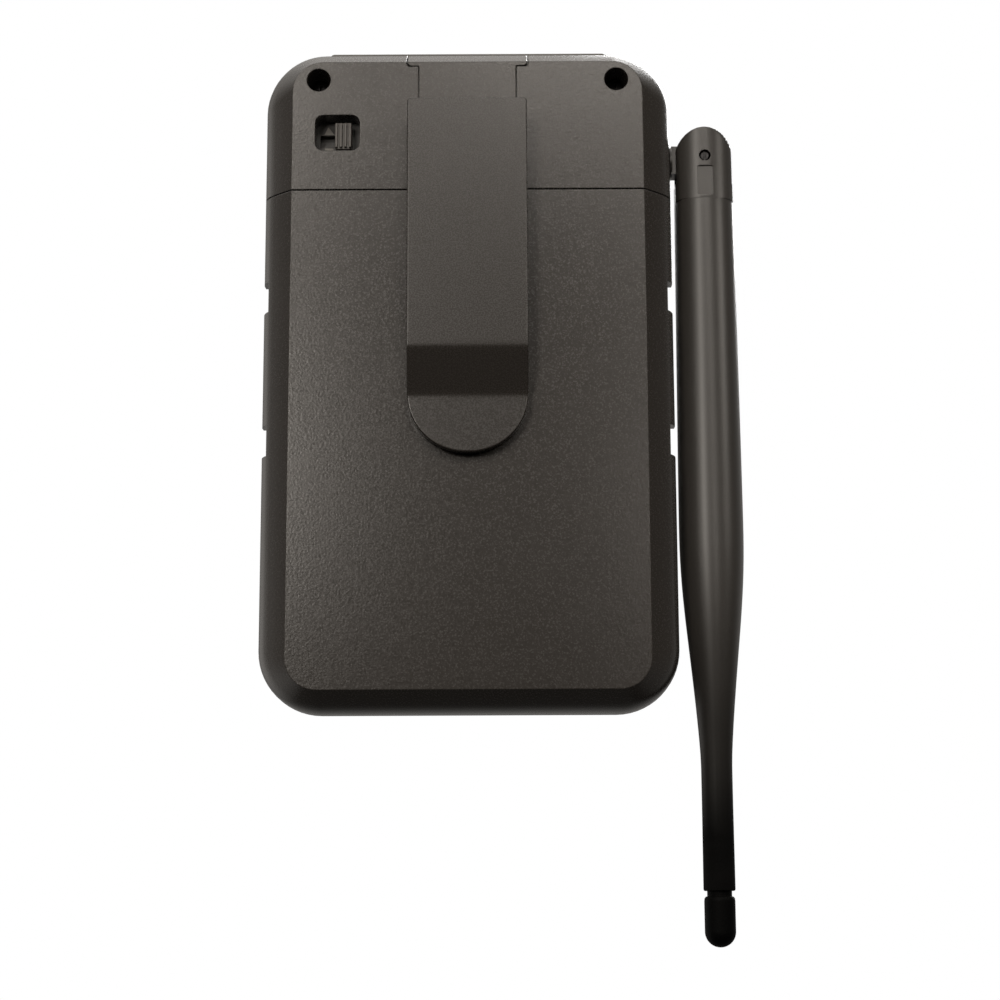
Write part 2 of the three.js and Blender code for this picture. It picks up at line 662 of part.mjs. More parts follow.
function mainBoard() {
  const board = slab(roundRect(-38, 14, 38, 140, 3), boardBack, boardFront);
  const gaps = screwPlaces.slice(0, 2).map(([x, z]) => rodY(5, x, z, -30, -15, 16));
  const chips = [[-14, 30, 12, 8], [12, 40, 10, 10], [-20, 56, 8, 14], [22, 64, 9, 9], [20, 122, 12, 10]]
    .map(([x, z, w, h]) => block(x, x + w, -boardFront - 1.2, -boardFront + 0.2, z, z + h));
  return cut(join(board, ...chips), ...gaps);
}

function shieldCan(x, z, w, h, tall) {
  return slab(roundRect(x, z, x + w, z + h, 1.2), boardFront + 0.1, boardFront + tall, 3);
}

function ledBoard() {
  const board = slab(roundRect(-28.4, 103.6, 28.4, 128.4, 2), 30.4, 31.6, 3);
  const leds = [];
  for (let row = 0; row < 3; row++) {
    for (let column = 0; column < 7; column++) {
      leds.push(rodY(2.5, (column - 3) * 7.6, 108.4 + row * 7.6, -35.6, -31.4, 8));
    }
  }
  return join(board, ...leds);
}

function irWindowPlate() {
  const { half, z0, z1, corner } = irWindow;
  return slab(roundRect(-half, z0, half, z1, corner), 37.7, frontPanel + 0.25);
}

function lensBezel() {
  const profile = [[11.9, 2.6], [11.9, 0.15], [14.2, 0.1], [14.2, -1.2], [12.6, -2.6], [9.6, -2.6], [9.6, -0.4], [8.6, -0.4], [8.6, 2.6], [11.9, 2.6]];
  return turnedY(profile.map(([r, h]) => [r, -h]), 0, lensHeight, frontPanel + 0.15);
}

function lensCover() {
  return rodY(9.4, 0, lensHeight, -frontPanel - 1.8, -frontPanel - 0.7, 32);
}

function lensBarrel() {
  const profile = [[0, 0], [7, 0], [7, 4], [8, 4.4], [8, 6.6], [6.2, 6.6], [5.4, 5.2], [0, 5.2]];
  return turnedY(profile, 0, lensHeight, 31.4);
}

function lensElement() {
  const profile = [[0, 0], [5, 0], [5, 0.5], [3.8, 1.3], [2, 1.8], [0, 2]];
  return turnedY(profile, 0, lensHeight, 36.7);
}

function lensHolder() {
  const housing = block(-16.5, 16.5, -31.2, -25.9, lensHeight - 9, lensHeight + 9);
  const bore = rodY(4.6, 0, lensHeight, -32, -25);
  const track = block(-15.2, 15.2, -28.8, -27.2, lensHeight - 4.8, lensHeight + 4.8);
  return cut(housing, bore, track);
}

function filterSlider() {
  const plate = block(-13, 6.5, -28.4, -27.6, lensHeight - 4.5, lensHeight + 4.5);
  return cut(plate, block(-11.6, -4.8, -30, -26, lensHeight - 3.4, lensHeight + 3.4));
}

function imageSensor() {
  const board = block(-12, 12, -25.7, -24.7, lensHeight - 11, lensHeight + 11);
  const chip = block(-3, 3, -26.6, -25.5, lensHeight - 2.6, lensHeight + 2.6);
  return join(board, chip);
}

function pirLens() {
  const outer = [];
  const inner = [];
  for (let i = 0; i <= 6; i++) {
    const angle = i / 6 * Math.PI / 2;
    outer.push([13.6 * Math.cos(angle), 1.6 + 6.6 * Math.sin(angle)]);
    inner.push([12.7 * Math.cos(angle), 0.8 + 6.5 * Math.sin(angle)]);
  }
  outer[6][0] = 0;
  inner[6][0] = 0;
  const profile = [...inner.reverse(), [12.7, 0], [15, 0], [15, 1], [13.6, 1], ...outer];
  return turnedY(profile, 0, pirHeight, frontPanel - 1.1);
}

function pirBezel() {
  const profile = [[17.6, 0.1], [17.6, 0.9], [16.4, 1.9], [14.1, 1.9], [14.1, 0.1], [17.6, 0.1]];
  return turnedY(profile, 0, pirHeight, frontPanel + 0.05);
}

function pirSensor() {
  const profile = [[0, 0], [5.2, 0], [5.2, 1], [4.6, 1], [4.6, 5.2], [0, 5.2]];
  return turnedY(profile, 0, pirHeight, 25.2, 24);
}

function lightPipe() {
  return join(rodY(1.25, 24, 93, -frontPanel - 0.2, -33, 12), rodY(2.2, 24, 93, -35.8, -33, 12));
}

function antennaLead() {
  const { y } = antennaAxis;
  const points = [[-35.6, y, elbowHeight], [-32, y + 0.4, elbowHeight - 0.5], [-28, y - 0.4, elbowHeight - 3.5],
    [-24, y - 1.4, elbowHeight - 5.5], [-18, y - 2.6, elbowHeight - 4], [-12, y - 3.9, elbowHeight - 1]];
  return wire(points, 0.65, 22, 8);
}

// ---------------------------------------------------------------- assembly

const assembly = new THREE.Group();

function piece(name, made, material) {
  const mesh = new THREE.Mesh(geometryOf(made), material);
  mesh.name = name;
  assembly.add(mesh);
}

piece('rear_housing', rearHousing(), finish.shell);
piece('front_shell', frontShell(), finish.shell);
piece('case_gasket', caseGasket(), finish.rubber);
piece('bay_gasket', bayGasket(), finish.rubber);
screwPlaces.forEach((place, i) => piece(`case_screw_${i + 1}`, caseScrew(place), finish.blackScrew));

piece('battery_cover', batteryCover(), finish.shell);
piece('battery_tray', batteryTray(), finish.innerPlastic);
for (let column = 0; column < 4; column++) {
  const flip = column % 2 === 1;
  for (let slot = 0; slot < 2; slot++) {
    piece(`battery_${column * 2 + slot + 1}`, batteryCell(column, slot, flip), finish.cellWrap);
  }
  piece(`cell_spring_${column + 1}`, cellSpring(column, flip), finish.steel);
}
piece('contact_upper_a', contactStrip(0, 1, true), finish.nickel);
piece('contact_upper_b', contactStrip(2, 3, true), finish.nickel);
piece('contact_lower', contactStrip(1, 2, false), finish.nickel);
piece('terminal_negative', contactStrip(0, 0, false), finish.nickel);
piece('terminal_positive', contactStrip(3, 3, false), finish.nickel);

piece('switch_knob', switchKnob(), finish.innerPlastic);
piece('switch_body', switchBody(), finish.nickel);

piece('clip_foot', clipFoot(), finish.shell);
piece('clip_arm', clipArm(), finish.clip);
piece('clip_pin', rodX(clipPin, clipPivot.y, clipPivot.z, -9.9, 9.9, 16), finish.steel);
piece('clip_spring', clipSpring(), finish.steel);

piece('antenna_bushing', antennaBushing(), finish.nickel);
piece('antenna_knuckle', antennaKnuckle(), finish.antenna);
piece('antenna_pin', elbowPinRod(), finish.blackScrew);
piece('antenna_mast', antennaMast(), finish.antenna);
piece('antenna_tip', antennaTip(), finish.rubber);
piece('antenna_lead', antennaLead(), finish.rubber);

piece('port_flap', portFlap(), finish.rubber);
piece('usb_port', usbPort(), finish.nickel);
piece('card_socket', cardSocket(), finish.nickel);
piece('memory_card', memoryCard(), finish.innerPlastic);
piece('pair_button', pairButton(), finish.innerPlastic);

piece('main_board', mainBoard(), finish.board);
piece('processor_shield', shieldCan(-9, 100, 18, 18, 2.6), finish.nickel);
piece('radio_module', shieldCan(-34, 96, 20, 26, 3), finish.gold);
piece('led_board', ledBoard(), finish.led);
piece('ir_window', irWindowPlate(), finish.darkWindow);
piece('lens_bezel', lensBezel(), finish.innerPlastic);
piece('lens_cover', lensCover(), finish.clearLens);
piece('lens_barrel', lensBarrel(), finish.innerPlastic);
piece('lens_element', lensElement(), finish.clearLens);
piece('lens_holder', lensHolder(), finish.innerPlastic);
piece('filter_slider', filterSlider(), finish.innerPlastic);
piece('image_sensor', imageSensor(), finish.board);
piece('pir_lens', pirLens(), finish.milkyLens);
piece('pir_bezel', pirBezel(), finish.innerPlastic);
piece('pir_sensor', pirSensor(), finish.gold);
piece('light_pipe', lightPipe(), finish.milkyLens);

// The origin is on the base, under the middle of the body's depth.
assembly.position.set(0, bodyDepth / 2, -baseInset);

export default assembly;
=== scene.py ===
"""Finishes for a trail camera with a belt clip, a slide-off battery cover and a folding antenna.

Pieces are modelled in millimetres, with depth measured from the flat back face (+Y is out of it)
and height from the lowest edge of the rear rim, and are carried into the frame at the end.
"""

import math

import bmesh
import bpy
from bpy.props import FloatProperty, FloatVectorProperty, IntProperty, PointerProperty
from mathutils import Matrix, Vector


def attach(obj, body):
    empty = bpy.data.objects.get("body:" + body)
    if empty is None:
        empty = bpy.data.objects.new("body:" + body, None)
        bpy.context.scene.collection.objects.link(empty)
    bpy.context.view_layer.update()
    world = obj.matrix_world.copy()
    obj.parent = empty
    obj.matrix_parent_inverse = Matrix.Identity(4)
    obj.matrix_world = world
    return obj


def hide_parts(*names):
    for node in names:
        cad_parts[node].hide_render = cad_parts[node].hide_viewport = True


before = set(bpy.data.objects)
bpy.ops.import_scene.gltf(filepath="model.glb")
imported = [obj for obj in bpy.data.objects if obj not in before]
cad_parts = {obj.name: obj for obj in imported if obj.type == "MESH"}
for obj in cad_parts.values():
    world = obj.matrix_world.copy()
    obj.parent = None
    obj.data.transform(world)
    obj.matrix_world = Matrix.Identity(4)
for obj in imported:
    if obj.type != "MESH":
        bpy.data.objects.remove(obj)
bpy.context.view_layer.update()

bl_info = {
    "name": "Trail camera finishes",
    "version": (1, 0, 0),
    "blender": (4, 5, 0),
    "location": "3D View > Sidebar > Trail camera",
    "description": "Builds the fine pieces and the finishes of a trail camera",
    "category": "Object",
}

MM = 0.001
BACK = 20.0  # from the row's Y axis to the back face
LIFT = -2.4  # from the case's base to the rim's lowest edge
PLACE = Matrix.Scale(MM, 4) @ Matrix.Translation((0, BACK, LIFT))

CLIP_HALF = 12.75
CLIP_TOP = 130.0
CLIP_TIP = 53.6
CLIP_GAP = 5.2
CLIP_TIP_GAP = 1.0
CLIP_THICK = 2.2
CLIP_PIVOT = (2.9, 119.0)  # y and z

ELBOW = (-52.3, -16.6, 123.6)
HEAD_TOP = 6.6
HEAD_STEP = -9.6
HEAD_CURVE = -1.6  # where the head's round top begins
HEAD_DEPTH = 5.52
# Half width at each height from the elbow pin, and depth as a share of it.
MAST = (
    (-160.1, 3.35, 1.0), (-134, 3.3, 1.0), (-129.5, 3.5, 1.0), (-123, 4.0, 1.0), (-116.5, 4.6, 0.99),
    (-109, 5.35, 0.96), (-102.5, 6.0, 0.93), (-95, 6.6, 0.90), (-88, 6.9, 0.88), (-80, 6.95, 0.87),
    (-45, 6.75, 0.86), (-9.9, 6.55, 0.86),
)

SCREWS = ((-32.3, 137.0), (32.3, 137.0), (-35.5, 8.5), (35.5, 8.5))
CELL_PITCH = 15.2
CELL_LOW = 8.15
CELL_HIGH = 107.2
CELL_LONG = 49.3
CELL_NUB = 1.1
CELL_DEPTH = -10.9

FRONT = -38.8  # the sunk front panel
LENS_HEIGHT = 78.0
SENSOR_HEIGHT = 38.0


# ------------------------------------------------------------------ settings


def color_setting(name, description, default):
    return FloatVectorProperty(name=name, description=description, subtype="COLOR", size=3, min=0, max=1,
                               default=default)


def length_setting(name, description, default, least, most):
    return FloatProperty(name=name, description=description, subtype="DISTANCE", unit="LENGTH",
                         default=default, min=least, max=most)


def power_setting(name, description, default):
    return FloatProperty(name=name, description=description + ", in watts", default=default, min=0, max=200)


class CaseSettings(bpy.types.PropertyGroup):
    shell_color: color_setting("Shell colour", "Colour of the moulded case", (0.030, 0.026, 0.0225))
    clip_color: color_setting("Clip colour", "Colour of the belt clip's arm", (0.028, 0.0245, 0.0215))
    rubber_color: color_setting("Rubber colour", "Colour of the port flap", (0.105, 0.100, 0.092))
    grain_size: length_setting("Grain size", "Size of the spark-eroded grain", 0.00036, 0.0001, 0.002)
    grain_depth: length_setting("Grain depth", "Height of the grain", 0.000022, 0, 0.0005)
    edge_radius: length_setting("Edge radius", "Rounding of the moulded edges", 0.00028, 0, 0.002)


class ClipSettings(bpy.types.PropertyGroup):
    edge_radius: length_setting("Edge radius", "Rounding of the arm's outline", 0.00032, 0.0001, 0.001)
    wire_radius: length_setting("Spring wire", "Radius of the clip spring's wire", 0.0003, 0.0001, 0.0004)


class AntennaSettings(bpy.types.PropertyGroup):
    top_color: color_setting("Upper colour", "Colour of the head and upper sleeve", (0.040, 0.0365, 0.033))
    # Painted shade: this near-black lower colour darkens the sleeve towards its lower end, and the cap is
    # given it too.
    shaded_tip_color: color_setting("Lower colour", "Colour of the thin lower sleeve and the cap",
                             (0.0012, 0.0012, 0.0011))
    sides: IntProperty(name="Sides", description="Steps round the sleeve", default=64, min=24, max=128)


class CellSettings(bpy.types.PropertyGroup):
    wrap_color: color_setting("Wrap colour", "Colour of a cell's wrap", (0.018, 0.020, 0.022))
    band_color: color_setting("Band colour", "Colour of a cell's positive end", (0.42, 0.20, 0.06))


class OpticsSettings(bpy.types.PropertyGroup):
    window_color: color_setting("Window colour", "Tint of the infra-red window", (0.010, 0.005, 0.008))
    dome_color: color_setting("Sensor dome colour", "Colour of the milky sensor dome", (0.80, 0.79, 0.74))


class StageSettings(bpy.types.PropertyGroup):
    lens_mm: FloatProperty(
        name="Focal length", description="Focal length on a 36 mm sensor, in millimetres",
        default=77.508, min=20, max=300)
    floor_drop: length_setting("Floor drop", "How far the floor lies under the base", 0.13, 0.05, 1)
    top_power: power_setting("Top light", "Soft light above the camera", 0.45)
    high_left_power: power_setting("High left light", "Soft light above the switch's side", 0.72)
    high_right_power: power_setting("High right light", "Soft light above the antenna's side", 0.36)
    left_power: power_setting("Left light", "Soft light on the switch's side", 0.95)
    right_power: power_setting("Right light", "Soft light on the antenna's side", 0.27)
    antenna_power: power_setting("Antenna light", "Light along the antenna's outer side", 0.55)
    quarter_power: power_setting("Quarter light", "Wide light far out on the switch's side", 1.3)
    lens_side_power: power_setting("Lens side light", "Light on the lens side", 9.0)


SETTINGS = (
    ("trailcam_case", CaseSettings), ("trailcam_clip", ClipSettings), ("trailcam_antenna", AntennaSettings),
    ("trailcam_cells", CellSettings), ("trailcam_optics", OpticsSettings), ("trailcam_stage", StageSettings),
)


# ------------------------------------------------------------------ mesh helpers

# Where an outline's two directions and its depth lie for a prism along each axis.
ALONG = {
    "x": lambda u, v, w: (w, u, v),
    "y": lambda u, v, w: (u, w, v),
    "z": lambda u, v, w: (u, v, w),
}
# Turns a profile's height from +Z to the axis named.
TURNS = {
    "z": Matrix.Identity(4),
    "back": Matrix.Rotation(math.radians(-90), 4, "X"),
    "front": Matrix.Rotation(math.radians(90), 4, "X"),
    "x": Matrix.Rotation(math.radians(90), 4, "Y"),
    "down": Matrix.Rotation(math.radians(180), 4, "X"),
}


def link(ob):
    bpy.context.scene.collection.objects.link(ob)
    return ob


def rectangle(u0, v0, u1, v1):
    return ((u0, v0), (u1, v0), (u1, v1), (u0, v1))


def fresh(drawn, kind=bmesh.types.BMVert):
    """The new parts of one kind that an extrusion has given."""
    return [part for part in drawn["geom"] if isinstance(part, kind)]


def cut_corners(bm, verts, radius, steps):
    bmesh.ops.bevel(bm, geom=verts, offset=radius, offset_type="OFFSET", segments=steps, profile=0.5,
                    affect="VERTICES", material=-1)


def prism(outline, low, high, axis="y", corner=0.0, steps=8):
    """An outline drawn out along an axis, with all its corners rounded where a radius is given."""
    bm = bmesh.new()
    spot = ALONG[axis]
    bm.faces.new([bm.verts.new(spot(u, v, low)) for u, v in outline])
    if corner:
        cut_corners(bm, bm.verts[:], corner, steps)
    drawn = bmesh.ops.extrude_face_region(bm, geom=bm.faces[:])
    bmesh.ops.translate(bm, verts=fresh(drawn), vec=spot(0, 0, high - low))
    bmesh.ops.recalc_face_normals(bm, faces=bm.faces)
    return bm


def moved(bm, place, axis="z"):
    bmesh.ops.transform(bm, matrix=Matrix.Translation(place) @ TURNS[axis], verts=bm.verts)
    return bm


def merged(bm, dist=1e-3):
    """Joins points that meet, and turns the faces outward."""
    bmesh.ops.remove_doubles(bm, verts=bm.verts, dist=dist)
    bmesh.ops.recalc_face_normals(bm, faces=bm.faces)
    return bm


def turned(profile, place=(0, 0, 0), axis="z", steps=48):
    """A profile of (radius, height) points spun right round its axis."""
    bm = bmesh.new()
    verts = [bm.verts.new((radius, 0, height)) for radius, height in profile]
    edges = [bm.edges.new(pair) for pair in zip(verts, verts[1:])]
    bmesh.ops.spin(bm, geom=verts + edges, cent=(0, 0, 0), axis=(0, 0, 1), angle=math.tau,
                   steps=steps, use_merge=True)
    bmesh.ops.remove_doubles(bm, verts=bm.verts, dist=1e-4)
    moved(bm, place, axis)
    bmesh.ops.recalc_face_normals(bm, faces=bm.faces)
    return bm


def ring(profile, *args, **kwargs):
    """A closed profile spun right round its axis."""
    return turned((*profile, profile[0]), *args, **kwargs)


def rod(radius, low, high, *args, **kwargs):
    """A plain cylinder between two heights on its axis."""
    return turned([(0, low), (radius, low), (radius, high), (0, high)], *args, **kwargs)


def pin(radius, flat, half, *args, **kwargs):
    """A pin about the middle of its axis, with its ends turned down to a smaller flat."""
    short = half - 0.3
    return turned([(0, -half), (flat, -half), (radius, -short), (radius, short), (flat, half), (0, half)],
                  *args, **kwargs)


def coil(radius, wire, turns, rise, steps=20, sides=8, cone=0.0):
    """A round wire coiled about Z; its radius shrinks by `cone` on the way up."""
    bm = bmesh.new()
    upright = Matrix.Translation((radius, 0, 0)) @ Matrix.Rotation(math.radians(90), 4, "X")
    bmesh.ops.create_circle(bm, cap_ends=True, segments=sides, radius=wire, matrix=upright)
    count = int(steps * turns)
    bmesh.ops.spin(bm, geom=bm.verts[:] + bm.edges[:] + bm.faces[:], cent=(0, 0, 0), axis=(0, 0, 1),
                   angle=math.tau * turns, dvec=(0, 0, rise / count), steps=count)
    for vert in bm.verts:
        share = 1 - cone * min(1, max(0, vert.co.z / rise))
        vert.co.x *= share
        vert.co.y *= share
    bmesh.ops.recalc_face_normals(bm, faces=bm.faces)
    return bm


def rounded(bm, radius, angle=35, steps=3, keep=None):
    """Rounds every edge that turns by more than an angle, or only those that `keep` picks."""
    edges = [edge for edge in bm.edges
             if len(edge.link_faces) == 2 and edge.calc_face_angle(0) > math.radians(angle)
             and (keep is None or keep(edge))]
    bmesh.ops.bevel(bm, geom=edges, offset=radius, offset_type="OFFSET", segments=steps, profile=0.5,
                    affect="EDGES", material=-1, clamp_overlap=True)
    return bm


def painted(bm, index):
    for face in bm.faces:
        face.material_index = index
    return bm


def joined(*parts):
    """One mesh of several; the later parts are used up."""
    first = parts[0]
    for part in parts[1:]:
        mesh = bpy.data.meshes.new("part")
        part.to_mesh(mesh)
        part.free()
        first.from_mesh(mesh)
        bpy.data.meshes.remove(mesh)
    return first


def plain_object(name, bm):
    mesh = bpy.data.meshes.new(name)
    bm.to_mesh(mesh)
    bm.free()
    return link(bpy.data.objects.new(name, mesh))


def carved(bm, *tools):
    """The solid with the tools' solids cut out of it."""
    solid = plain_object("solid", bm)
    cutters = [plain_object("tool", tool) for tool in tools]
    for cutter in cutters:
        cut = solid.modifiers.new("cut", "BOOLEAN")
        cut.operation = "DIFFERENCE"
        cut.solver = "EXACT"
        cut.object = cutter
    result = bmesh.new()
    result.from_object(solid, bpy.context.evaluated_depsgraph_get())
    for ob in (solid, *cutters):
        mesh = ob.data
        bpy.data.objects.remove(ob)
        bpy.data.meshes.remove(mesh)
    return result


def piece(name, bm, materials, body, nodes=(), crease=32):
    """Carries a bmesh in mm into the frame as a finished piece on a body."""
    bmesh.ops.transform(bm, matrix=PLACE, verts=bm.verts)
    for face in bm.faces:
        face.smooth = True
    for edge in bm.edges:
        edge.smooth = len(edge.link_faces) != 2 or edge.calc_face_angle(0) < math.radians(crease)
    ob = plain_object(name, bm)
    for material in materials if isinstance(materials, (list, tuple)) else (materials,):
        ob.data.materials.append(bpy.data.materials[material])
    evened(ob)
    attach(ob, body)
    if nodes:
        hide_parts(*nodes)
    return ob


def evened(ob):
    """Lets the larger faces set the normals, so that flats stay flat beside rounded edges."""
    normals = ob.modifiers.new("normals", "WEIGHTED_NORMAL")
    normals.mode = "FACE_AREA"
    normals.weight = 80
    normals.keep_sharp = True


def finish_cad(name, material, crease=30):
    """Gives a CAD node its material, and smooth shading between its crisp edges."""
    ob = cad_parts[name]
    ob.data.materials.clear()
    ob.data.materials.append(bpy.data.materials[material])
    for polygon in ob.data.polygons:
        polygon.use_smooth = True
    weld = ob.modifiers.new("weld", "WELD")
    weld.merge_threshold = 2e-6
    split = ob.modifiers.new("creases", "EDGE_SPLIT")
    split.split_angle = math.radians(crease)
    split.use_edge_sharp = False
    evened(ob)
    return ob


# ------------------------------------------------------------------ material helpers


def node(tree, kind, values=None, **settings):
    """Adds a node; each input is given as a value or as the socket that feeds it."""
    made = tree.nodes.new("ShaderNode" + kind)
    for key, value in settings.items():
        setattr(made, key, value)
    for key, value in (values or {}).items():
        if isinstance(value, bpy.types.NodeSocket):
            tree.links.new(value, made.inputs[key])
        else:
            made.inputs[key].default_value = value
    return made


def sums(tree, operation, first, second, clamp=False):
    return node(tree, "Math", {0: first, 1: second}, operation=operation, use_clamp=clamp).outputs[0]


def times(tree, first, second):
    return sums(tree, "MULTIPLY", first, second)


def plus(tree, first, second, clamp=False):
    return sums(tree, "ADD", first, second, clamp)


def remap(tree, value, low, high, to_low=0.0, to_high=1.0):
    made = node(tree, "MapRange", {"Value": value, "From Min": low, "From Max": high,
                                   "To Min": to_low, "To Max": to_high})
    return made.outputs["Result"]


def blended(tree, factor, first, second):
    made = node(tree, "Mix", data_type="RGBA")
    for socket, value in ((made.inputs[0], factor), (made.inputs[6], first), (made.inputs[7], second)):
        if isinstance(value, bpy.types.NodeSocket):
            tree.links.new(value, socket)
        else:
            socket.default_value = value
    return made.outputs[2]


def noise(tree, where, scale, detail=2.0, **more):
    return node(tree, "TexNoise", {"Vector": where, "Scale": scale, "Detail": detail, **more}).outputs["Fac"]


def scaled(tree, color, share):
    return node(tree, "VectorMath", {0: color, "Scale": share}, operation="SCALE").outputs[0]


def bumped(tree, height, depth, strength=1.0, **under):
    """A bumped normal, over the one given as Normal if there is one."""
    return node(tree, "Bump", {"Height": height, "Distance": depth, "Strength": strength,
                               **under}).outputs["Normal"]


def effect(name, inputs, outputs):
    """A node group with named inputs and outputs."""
    tree = bpy.data.node_groups.new(name, "ShaderNodeTree")
    for socket, kind, default in inputs:
        made = tree.interface.new_socket(socket, in_out="INPUT", socket_type="NodeSocket" + kind)
        if default is not None:
            made.default_value = default
    for socket, kind in outputs:
        tree.interface.new_socket(socket, in_out="OUTPUT", socket_type="NodeSocket" + kind)
    return tree, tree.nodes.new("NodeGroupInput").outputs, tree.nodes.new("NodeGroupOutput")


def send(tree, out, **sockets):
    for key, socket in sockets.items():
        tree.links.new(socket, out.inputs[key])


def use(tree, name, values):
    return node(tree, "Group", values, node_tree=bpy.data.node_groups[name])


def surface(name, **uniform):
    """A new material; the values that are the same all over go on the shader's own sockets."""
    if name in bpy.data.materials:
        raise ValueError(name + " is already the name of a material")
    material = bpy.data.materials.new(name)
    material.use_nodes = True
    tree = material.node_tree
    tree.nodes.clear()
    output = tree.nodes.new("ShaderNodeOutputMaterial")
    shader = tree.nodes.new("ShaderNodeBsdfPrincipled")
    tree.links.new(shader.outputs["BSDF"], output.inputs["Surface"])
    for key, value in uniform.items():
        shader.inputs[key.replace("_", " ")].default_value = value
    return tree, shader, tree.nodes.new("ShaderNodeTexCoord").outputs["Object"]


def finish(tree, shader, color, roughness, normal):
    send(tree, shader, **{"Base Color": color, "Roughness": roughness, "Normal": normal})


def opaque(color):
    return (*color, 1.0)


# ------------------------------------------------------------------ shared effects

LOOK = [("Color", "Color"), ("Roughness", "Float"), ("Normal", "Vector")]


def make_spark_grain():
    """Spark-eroded grain: small pits and mottling, with slow changes of shade over them."""
    tree, given, out = effect(
        "spark_grain",
        [("Vector", "Vector", None), ("Color", "Color", None), ("Variation", "Float", 0.2),
         ("Scale", "Float", 2000.0), ("Roughness", "Float", 0.5), ("Depth", "Float", 0.00005),
         ("Normal", "Vector", None)], LOOK)
    fine = noise(tree, given["Vector"], given["Scale"], 3.0, Roughness=0.62)
    pit_scale = times(tree, given["Scale"], 0.7)
    pits = node(tree, "TexVoronoi", {"Vector": given["Vector"], "Scale": pit_scale, "Smoothness": 0.6},
                feature="SMOOTH_F1").outputs["Distance"]
    broad = noise(tree, given["Vector"], 70.0, 3.0)
    middle = sums(tree, "SUBTRACT", fine, 0.5)
    speckle = plus(tree, times(tree, middle, 2.6),
                   times(tree, sums(tree, "SUBTRACT", broad, 0.5), 0.55))
    shade = plus(tree, times(tree, speckle, given["Variation"]), 1.0)
    tint = scaled(tree, given["Color"], shade)
    height = plus(tree, times(tree, fine, 0.65), times(tree, pits, 0.5))
    dull = plus(tree, given["Roughness"], times(tree, middle, 0.3), clamp=True)
    bump = bumped(tree, height, given["Depth"], Normal=given["Normal"])
    send(tree, out, Color=tint, Roughness=dull, Normal=bump)


def make_edge_wear_and_sheen():
    """Rounds the normals at edges, and lightens the edges: partly wear where hands have rubbed them, partly
    painted highlight.
    """
    tree, given, out = effect(
        "edge_wear",
        [("Vector", "Vector", None), ("Color", "Color", None), ("Worn Color", "Color", None),
         ("Radius", "Float", 0.0003), ("Strength", "Float", 0.3)],
        [("Color", "Color"), ("Normal", "Vector")])
    soft = node(tree, "Bevel", {"Radius": given["Radius"]}, samples=6).outputs["Normal"]
    own = node(tree, "NewGeometry").outputs["Normal"]
    level = node(tree, "VectorMath", {0: soft, 1: own}, operation="DOT_PRODUCT").outputs["Value"]
    # Painted highlight: the edge mask lightens edges towards the worn colour, standing partly for wear and
    # partly for the edge highlight.
    edge = remap(tree, level, 0.99, 0.80)
    broken = remap(tree, noise(tree, given["Vector"], 900.0, 3.0), 0.35, 0.65, 0.25, 1.0)
    mask = times(tree, edge, broken)
    factor = sums(tree, "MULTIPLY", mask, given["Strength"], clamp=True)
    send(tree, out, Color=blended(tree, factor, given["Color"], given["Worn Color"]), Normal=soft)


def make_metal_wear():
    """Fine drawn scratches and dull patches on a metal."""
    tree, given, out = effect(
        "metal_wear",
        [("Vector", "Vector", None), ("Color", "Color", None), ("Roughness", "Float", 0.3),
         ("Stretch", "Vector", (1.0, 1.0, 0.08)), ("Depth", "Float", 0.00001),
         ("Normal", "Vector", None)], LOOK)
    drawn = node(tree, "VectorMath", {0: given["Vector"], 1: given["Stretch"]}, operation="MULTIPLY")
    lines = noise(tree, drawn.outputs[0], 6000.0, 4.0)
    patches = noise(tree, given["Vector"], 260.0, 4.0)
    shade = remap(tree, patches, 0.3, 0.7, 0.78, 1.08)
    tint = scaled(tree, given["Color"], shade)
    dull = plus(tree, given["Roughness"],
                plus(tree, remap(tree, patches, 0.35, 0.75, 0.0, 0.18),
                     remap(tree, lines, 0.3, 0.7, -0.06, 0.06)), clamp=True)
    bump = bumped(tree, lines, given["Depth"], 0.6, Normal=given["Normal"])
    send(tree, out, Color=tint, Roughness=dull, Normal=bump)


def make_smudge():
    """Faint finger marks on something glossy."""
    tree, given, out = effect(
        "smudge", [("Vector", "Vector", None), ("Roughness", "Float", 0.05), ("Amount", "Float", 0.06)],
        [("Roughness", "Float")])
    mask = remap(tree, noise(tree, given["Vector"], 120.0, 5.0, Distortion=0.8), 0.45, 0.7)
    marks = times(tree, mask, given["Amount"])
    send(tree, out, Roughness=plus(tree, given["Roughness"], marks, clamp=True))


# ------------------------------------------------------------------ materials


def plastic(name, color, worn, roughness, scale, depth, variation, radius, wear=0.3, **uniform):
    """Grained plastic, lighter at its edges, partly from wear and partly as painted highlight."""
    tree, shader, where = surface(name, **uniform)
    worn_and_lit_edges = use(tree, "edge_wear", {"Vector": where, "Color": opaque(color), "Worn Color": opaque(worn),
                                     "Radius": radius, "Strength": wear})
    grain = use(tree, "spark_grain", {"Vector": where, "Color": worn_and_lit_edges.outputs["Color"],
                                      "Variation": variation, "Scale": scale, "Roughness": roughness,
                                      "Depth": depth, "Normal": worn_and_lit_edges.outputs["Normal"]})
    finish(tree, shader, *grain.outputs)
    return tree, shader, where, worn_and_lit_edges, grain


